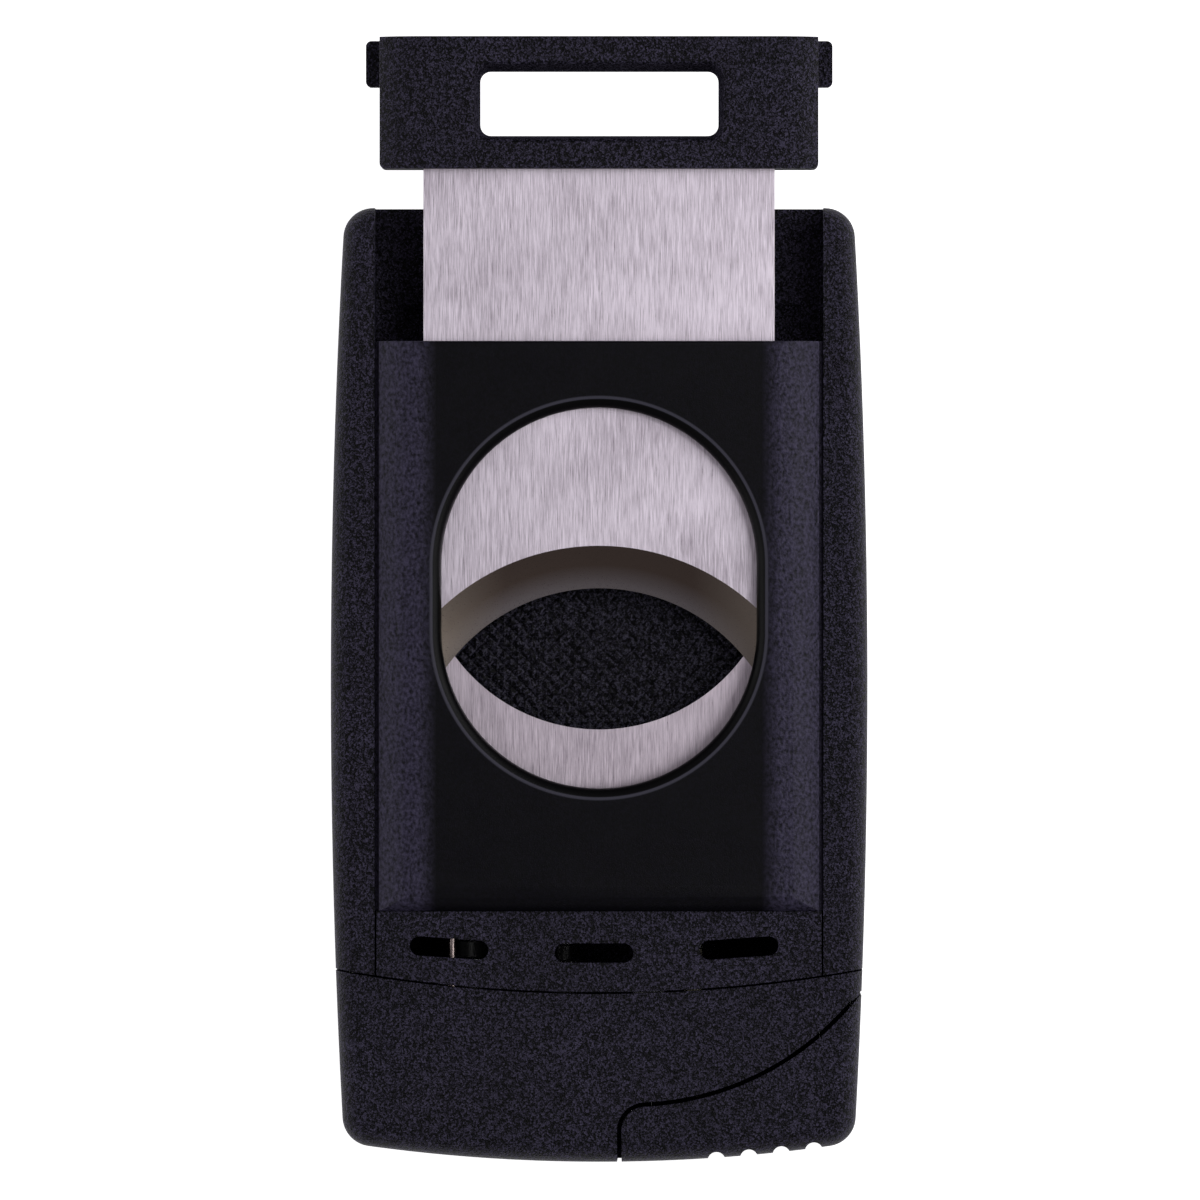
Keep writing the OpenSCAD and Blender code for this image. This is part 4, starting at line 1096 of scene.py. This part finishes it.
@dataclass
class Cutter:
    """The cutter: cover plate, blades, knurled pad and the handle."""

    form: BodyForm
    finishes: Finishes
    lower_edge_r: float = 14.3
    upper_edge_r: float = 15.0
    bevel_w: float = 3.4
    edge_land: float = 0.1
    window_r: float = 1.3
    window_draft: float = 0.45

    def build(self) -> None:
        """Makes and dresses every piece."""
        settle(self.cover_plate(), "root", "cover_plate", self.finishes)
        settle(self.pad(), "root", "stop_pad", self.finishes)
        settle(self.handle(), "cutter", "slide_handle", self.finishes)
        settle(self.upper_blade(), "cutter", "upper_blade", self.finishes)
        settle(self.lower_blade(), "root", "lower_blade", self.finishes, self.finishes.lower_steel)

    def cover_plate(self) -> Solid:
        """The cover plate, with its rolled end and the eye's rounded rim."""
        low, high = node_mm("cover_plate")
        plate = PlateForm(high.z)
        made = prism("cover_plate_shell", plate.profile(high.x, low.z), low.y, high.y, Axis.Y)
        roll_w, chamfer = 2.1, 0.3
        radius = (roll_w ** 2 + plate.flank_drop ** 2) / (2 * plate.flank_drop)
        start = math.degrees(math.acos(-roll_w / radius))
        roll = arc((low.y + roll_w, high.z - radius), radius, start, 90, 14)
        end = arc((high.y - chamfer, high.z - chamfer), chamfer, 90, 0, 5)
        side = [(low.y, low.z - 1), *roll, *end, (high.y, low.z - 1)]
        combine(made, Operation.MEET, prism("side_view", side, -self.form.width, self.form.width, Axis.X))
        combine(made, Operation.CUT, self.eye(low, high))
        soften(made, 0.06)
        return made

    def eye(self, low: Vector, high: Vector) -> Solid:
        """The cutter's eye as a solid to cut away, flared into a rounded rim.

        Args:
            low: the plate's lowest corner.
            high: its highest corner.

        Returns:
            The solid.
        """
        form = EyeForm.in_plate()
        low_y, high_y = form.middle - form.half_straight, form.middle + form.half_straight
        rings: list[Ring] = [(stadium(form.radius, low_y, high_y), low.z - OVERSHOOT)]
        for i in range(8):
            t = math.radians(90 * i / 7)
            radius = form.radius + form.rim * (1 - math.cos(t))
            rings.append((stadium(radius, low_y, high_y), high.z - form.rim * (1 - math.sin(t))))
        rings.append((stadium(form.radius + form.rim + 0.02, low_y, high_y), high.z + OVERSHOOT))
        return loft("eye", rings)

    def pad(self, pitch: float = 0.8, rise: float = 0.26) -> Solid:
        """The knurled pad behind the eye.

        Args:
            pitch: spacing of the knurl's rows, in millimetres.
            rise: height of its points.

        Returns:
            The piece.
        """
        low, high = node_mm("stop_pad")
        base_z, tip, corner_r = high.z - rise, 0.16, 0.8
        base = rounded_rectangle((low.x, low.y), (high.x, high.y), corner_r, 5)
        made = loft("knurled_pad", [(base, low.z), (base, base_z)])
        work = bmesh.new()
        work.from_mesh(made.data)
        reach = pitch / math.sqrt(2)
        columns = int((high.x - low.x) / reach) - 1
        rows = int((high.y - low.y) / reach) - 1
        start_x, start_y = (low.x + high.x - columns * reach) / 2, (low.y + high.y - rows * reach) / 2
        for i, j in ((i, j) for i in range(1, columns) for j in range(1, rows) if (i + j) % 2 == 0):
            x, y = start_x + i * reach, start_y + j * reach
            foot, top = ([work.verts.new(((x + dx * r) * MM, (y + dy * r) * MM, z * MM))
                          for dx, dy in ((1, 0), (0, 1), (-1, 0), (0, -1))]
                         for r, z in ((reach, base_z), (reach * tip, high.z)))
            work.faces.new(top)
            for k in range(4):
                work.faces.new((foot[k], foot[(k + 1) % 4], top[(k + 1) % 4], top[k]))
            work.faces.new(list(reversed(foot)))
        work.to_mesh(made.data)
        work.free()
        return made

    def handle(self) -> Solid:
        """The pull handle, with its finger window and ears."""
        low, high = node_mm("slide_handle")
        plate = PlateForm(high.z)
        bar_x, ear_t, ear_l = 17.55, 2.0, 3.7
        made = prism("pull_handle", plate.profile(bar_x, low.z), low.y, high.y, Axis.Y)
        ear_top = high.y - 0.25
        combine(made, Operation.JOIN,
                prism("ears", rounded_rectangle((low.x, ear_top - ear_l), (high.x, ear_top), 0.45),
                                             low.z, low.z + ear_t))
        window_x, window_y, window_h = 10.0, low.y + 2.3, 6.04
        rings: list[Ring] = []
        for z, shrink in ((low.z - 1, self.window_draft), (low.z, self.window_draft), (high.z - 0.25, 0.02),
                          (high.z - 0.12, -0.04), (high.z, -0.2), (high.z + 1, -0.22)):
            rings.append((rounded_rectangle((-window_x + shrink, window_y + shrink),
                                            (window_x - shrink, window_y + window_h - shrink),
                                            self.window_r - shrink), z))
        window = loft("window", rings)
        blade_low, blade_high = node_mm("upper_blade")
        combine(made, Operation.CUT, window,
                box("blade_slot", (blade_low.x, low.y - 1, blade_low.z),
                    (blade_high.x, low.y + 2, blade_high.z)))
        corner = 0.45
        for side, end in ((-1, 180), (1, 360)):
            outline = [(side * (bar_x + OVERSHOOT), low.y - OVERSHOOT), (side * (bar_x - corner), low.y - OVERSHOOT),
                       *arc((side * (bar_x - corner), low.y + corner), corner, 270, end, 6),
                       (side * (bar_x + OVERSHOOT), low.y + corner)]
            combine(made, Operation.CUT,
                    prism("lower_corner", outline, low.z - OVERSHOOT, high.z + OVERSHOOT))
        soften(made, 0.16)
        self.light_window_walls(made, (window_x, window_y, window_y + window_h))
        return made

    def light_window_walls(self, made: Solid, opening: tuple[float, float, float]) -> None:
        """Gives the finger window's walls a lighter copy of the powder coat, without sheen: painted light on the
        walls.

        Args:
            made: the handle.
            opening: the window's half width, lower edge and upper edge, in millimetres.
        """
        half, low_y, high_y = opening
        made.data.materials.append(self.finishes.by_slot["powder_coat"])
        # second slot: the lighter wall copy, painted light
        made.data.materials.append(self.finishes.lit_wall_coat)
        for face in made.data.polygons:
            x, y, _ = face.center / MM
            inside = abs(x) < half + 0.1 and low_y - 0.1 < y < high_y + 0.1
            if inside and abs(face.normal.z) < 0.6:
                face.material_index = 1

    def ground(self, made: Solid) -> None:
        """Gives a blade its brushing map and its bevel's painted reflections.

        Args:
            made: the blade.
        """
        soften(made, 0.0, sharp_angle=6.0)
        give_brushing_map(made)
        made.data.materials.append(self.finishes.by_slot["blade_steel"])
        # the bevel's material holds painted reflections
        made.data.materials.append(self.finishes.bevel)
        for face in made.data.polygons:
            if 0.05 < abs(face.normal.z) < 0.996:
                face.material_index = 1

    def hollow_edge(self, centre_y: float, radius: float, levels: list[tuple[float, float]]) -> Solid:
        """The round mouth of a blade as a solid to cut away.

        Args:
            centre_y: the arc's centre.
            radius: radius of the cutting edge.
            levels: extra radius and height of each ring, from the bottom up.

        Returns:
            The solid.
        """
        rings = [(arc((0, centre_y), radius + extra, 0, 360 - 2, 179), z) for extra, z in levels]
        return loft("blade_mouth", rings)

    def upper_blade(self) -> Solid:
        """The moving blade, hollow-ground on its front face."""
        low, high = node_mm("upper_blade")
        handle_low, _ = node_mm("slide_handle")
        tip_drop = math.sqrt(self.upper_edge_r ** 2 - high.x ** 2)
        centre_y = low.y - tip_drop
        made = box("upper_blade_ground", (low.x, centre_y, low.z), (high.x, handle_low.y + 1.99, high.z))
        land = low.z + self.edge_land
        depth = high.z - land
        levels = [(0.0, low.z - 1), (0.0, land)]
        for i in range(1, 9):
            share = i / 8
            levels.append((self.bevel_w * share, land + depth * share ** 1.35))
        levels.append((self.bevel_w, high.z + 1))
        combine(made, Operation.CUT, self.hollow_edge(centre_y, self.upper_edge_r, levels))
        self.ground(made)
        return made

    def lower_blade(self) -> Solid:
        """The fixed blade, ground on its rear face."""
        low, high = node_mm("lower_blade")
        centre_y = high.y + math.sqrt(self.lower_edge_r ** 2 - high.x ** 2)
        made = box("lower_blade_ground", tuple(low), tuple(high))
        levels = [(2.0, low.z - 1), (2.0, low.z), (0.0, high.z - self.edge_land), (0.0, high.z + 1)]
        combine(made, Operation.CUT, self.hollow_edge(centre_y, self.lower_edge_r, levels))
        self.ground(made)
        return made


@dataclass
class InnerWorks:
    """The pieces that keep their CAD shape and take a finish: fasteners, fuel side, burner and igniter."""

    finishes: Finishes

    def build(self) -> None:
        """Dresses every CAD node that is still shown."""
        for name, node in frame["nodes"].items():
            if node.hide_render:
                continue
            node.data.materials.clear()
            node.data.materials.append(self.finishes.by_slot[SLOT_OF[name]])
            LOG.info("%s: CAD shape with the %s finish", name, SLOT_OF[name])


# --- studio


@dataclass
class Studio:
    """Pale floor, soft light from both sides, and a camera straight above."""

    view_x: float = 0.08
    view_y: float = 6.8
    camera_x: float = 9.0
    field: float = 96.0
    distance: float = 1200.0
    lens: float = 443.0

    def build(self) -> None:
        """Makes the camera, the lights, the floor and the surroundings."""
        self.camera()
        self.floor()
        self.surroundings()
        self.softbox("right_softbox", (215, 60, 240), (240, 340), 0.68)
        self.softbox("left_softbox", (-460, 0, 215), (420, 520), 0.84)
        bpy.context.scene.view_settings.view_transform = "Standard"

    def camera(self) -> None:
        """A long lens looking straight down."""
        data = bpy.data.cameras.new("camera")
        data.lens = self.lens
        data.sensor_width = 36
        data.clip_start = 0.01
        data.clip_end = 20
        made = new_object("camera", data)
        made.location = ((self.view_x + self.camera_x) * MM, self.view_y * MM, self.distance * MM)
        data.shift_x = -self.camera_x / self.field
        bpy.context.scene.camera = made

    def softbox(self, name: str, place: tuple[float, float, float], size: Point, power: float) -> None:
        """A rectangular soft light aimed at the object.

        Args:
            name: the light's name.
            place: where it is, in millimetres.
            size: its width and height, in millimetres.
            power: its power, in watts.
        """
        data = bpy.data.lights.new(name, "AREA")
        data.shape = "RECTANGLE"
        data.size, data.size_y = size[0] * MM, size[1] * MM
        data.energy = power
        made = new_object(name, data)
        made.location = [c * MM for c in place]
        aim = Vector((0, self.view_y * MM, 0.012)) - made.location
        made.rotation_euler = aim.to_track_quat("-Z", "Y").to_euler()

    def floor(self) -> None:
        """A plain white floor that the object lies on."""
        made = box("studio_floor", (-1500, -1500, -6), (1500, 1500, -0.02))
        material = bpy.data.materials.new("white_floor")
        material.use_nodes = True
        shader = material.node_tree.nodes["Principled BSDF"]
        shader.inputs["Base Color"].default_value = linear("#f4f4f5")
        shader.inputs["Roughness"].default_value = 0.9
        shader.inputs["Emission Color"].default_value = linear("#ffffff")
        shader.inputs["Emission Strength"].default_value = 0.85
        made.data.materials.append(material)

    def surroundings(self) -> None:
        """A dim room that the camera sees as a white sweep."""
        world = bpy.data.worlds.new("studio")
        world.use_nodes = True
        bpy.context.scene.world = world
        tree = world.node_tree
        room = tree.nodes["Background"]
        room.inputs["Color"].default_value = linear("#f6f1f8")
        room.inputs["Strength"].default_value = 0.27
        sweep = add_node(tree, "Background", inputs={"Color": linear("#ffffff"), "Strength": 1.0})
        path = add_node(tree, "LightPath")
        mixed = add_node(tree, "MixShader", inputs={
            0: path.outputs["Is Camera Ray"], 1: room.outputs[0], 2: sweep.outputs[0]})
        tree.links.new(mixed.outputs[0], tree.nodes["World Output"].inputs["Surface"])


def main() -> None:
    """Builds the studio and the object, piece by piece."""
    logging.basicConfig(level=logging.INFO, format="%(name)s %(message)s")
    Studio().build()
    form = BodyForm.from_frame()
    lid = LidForm(form)
    finishes = Finishes()
    Casing(form, lid, finishes).build()
    CornerLid(form, lid, finishes).build()
    Cutter(form, finishes).build()
    InnerWorks(finishes).build()


if __name__ == "__main__":
    main()
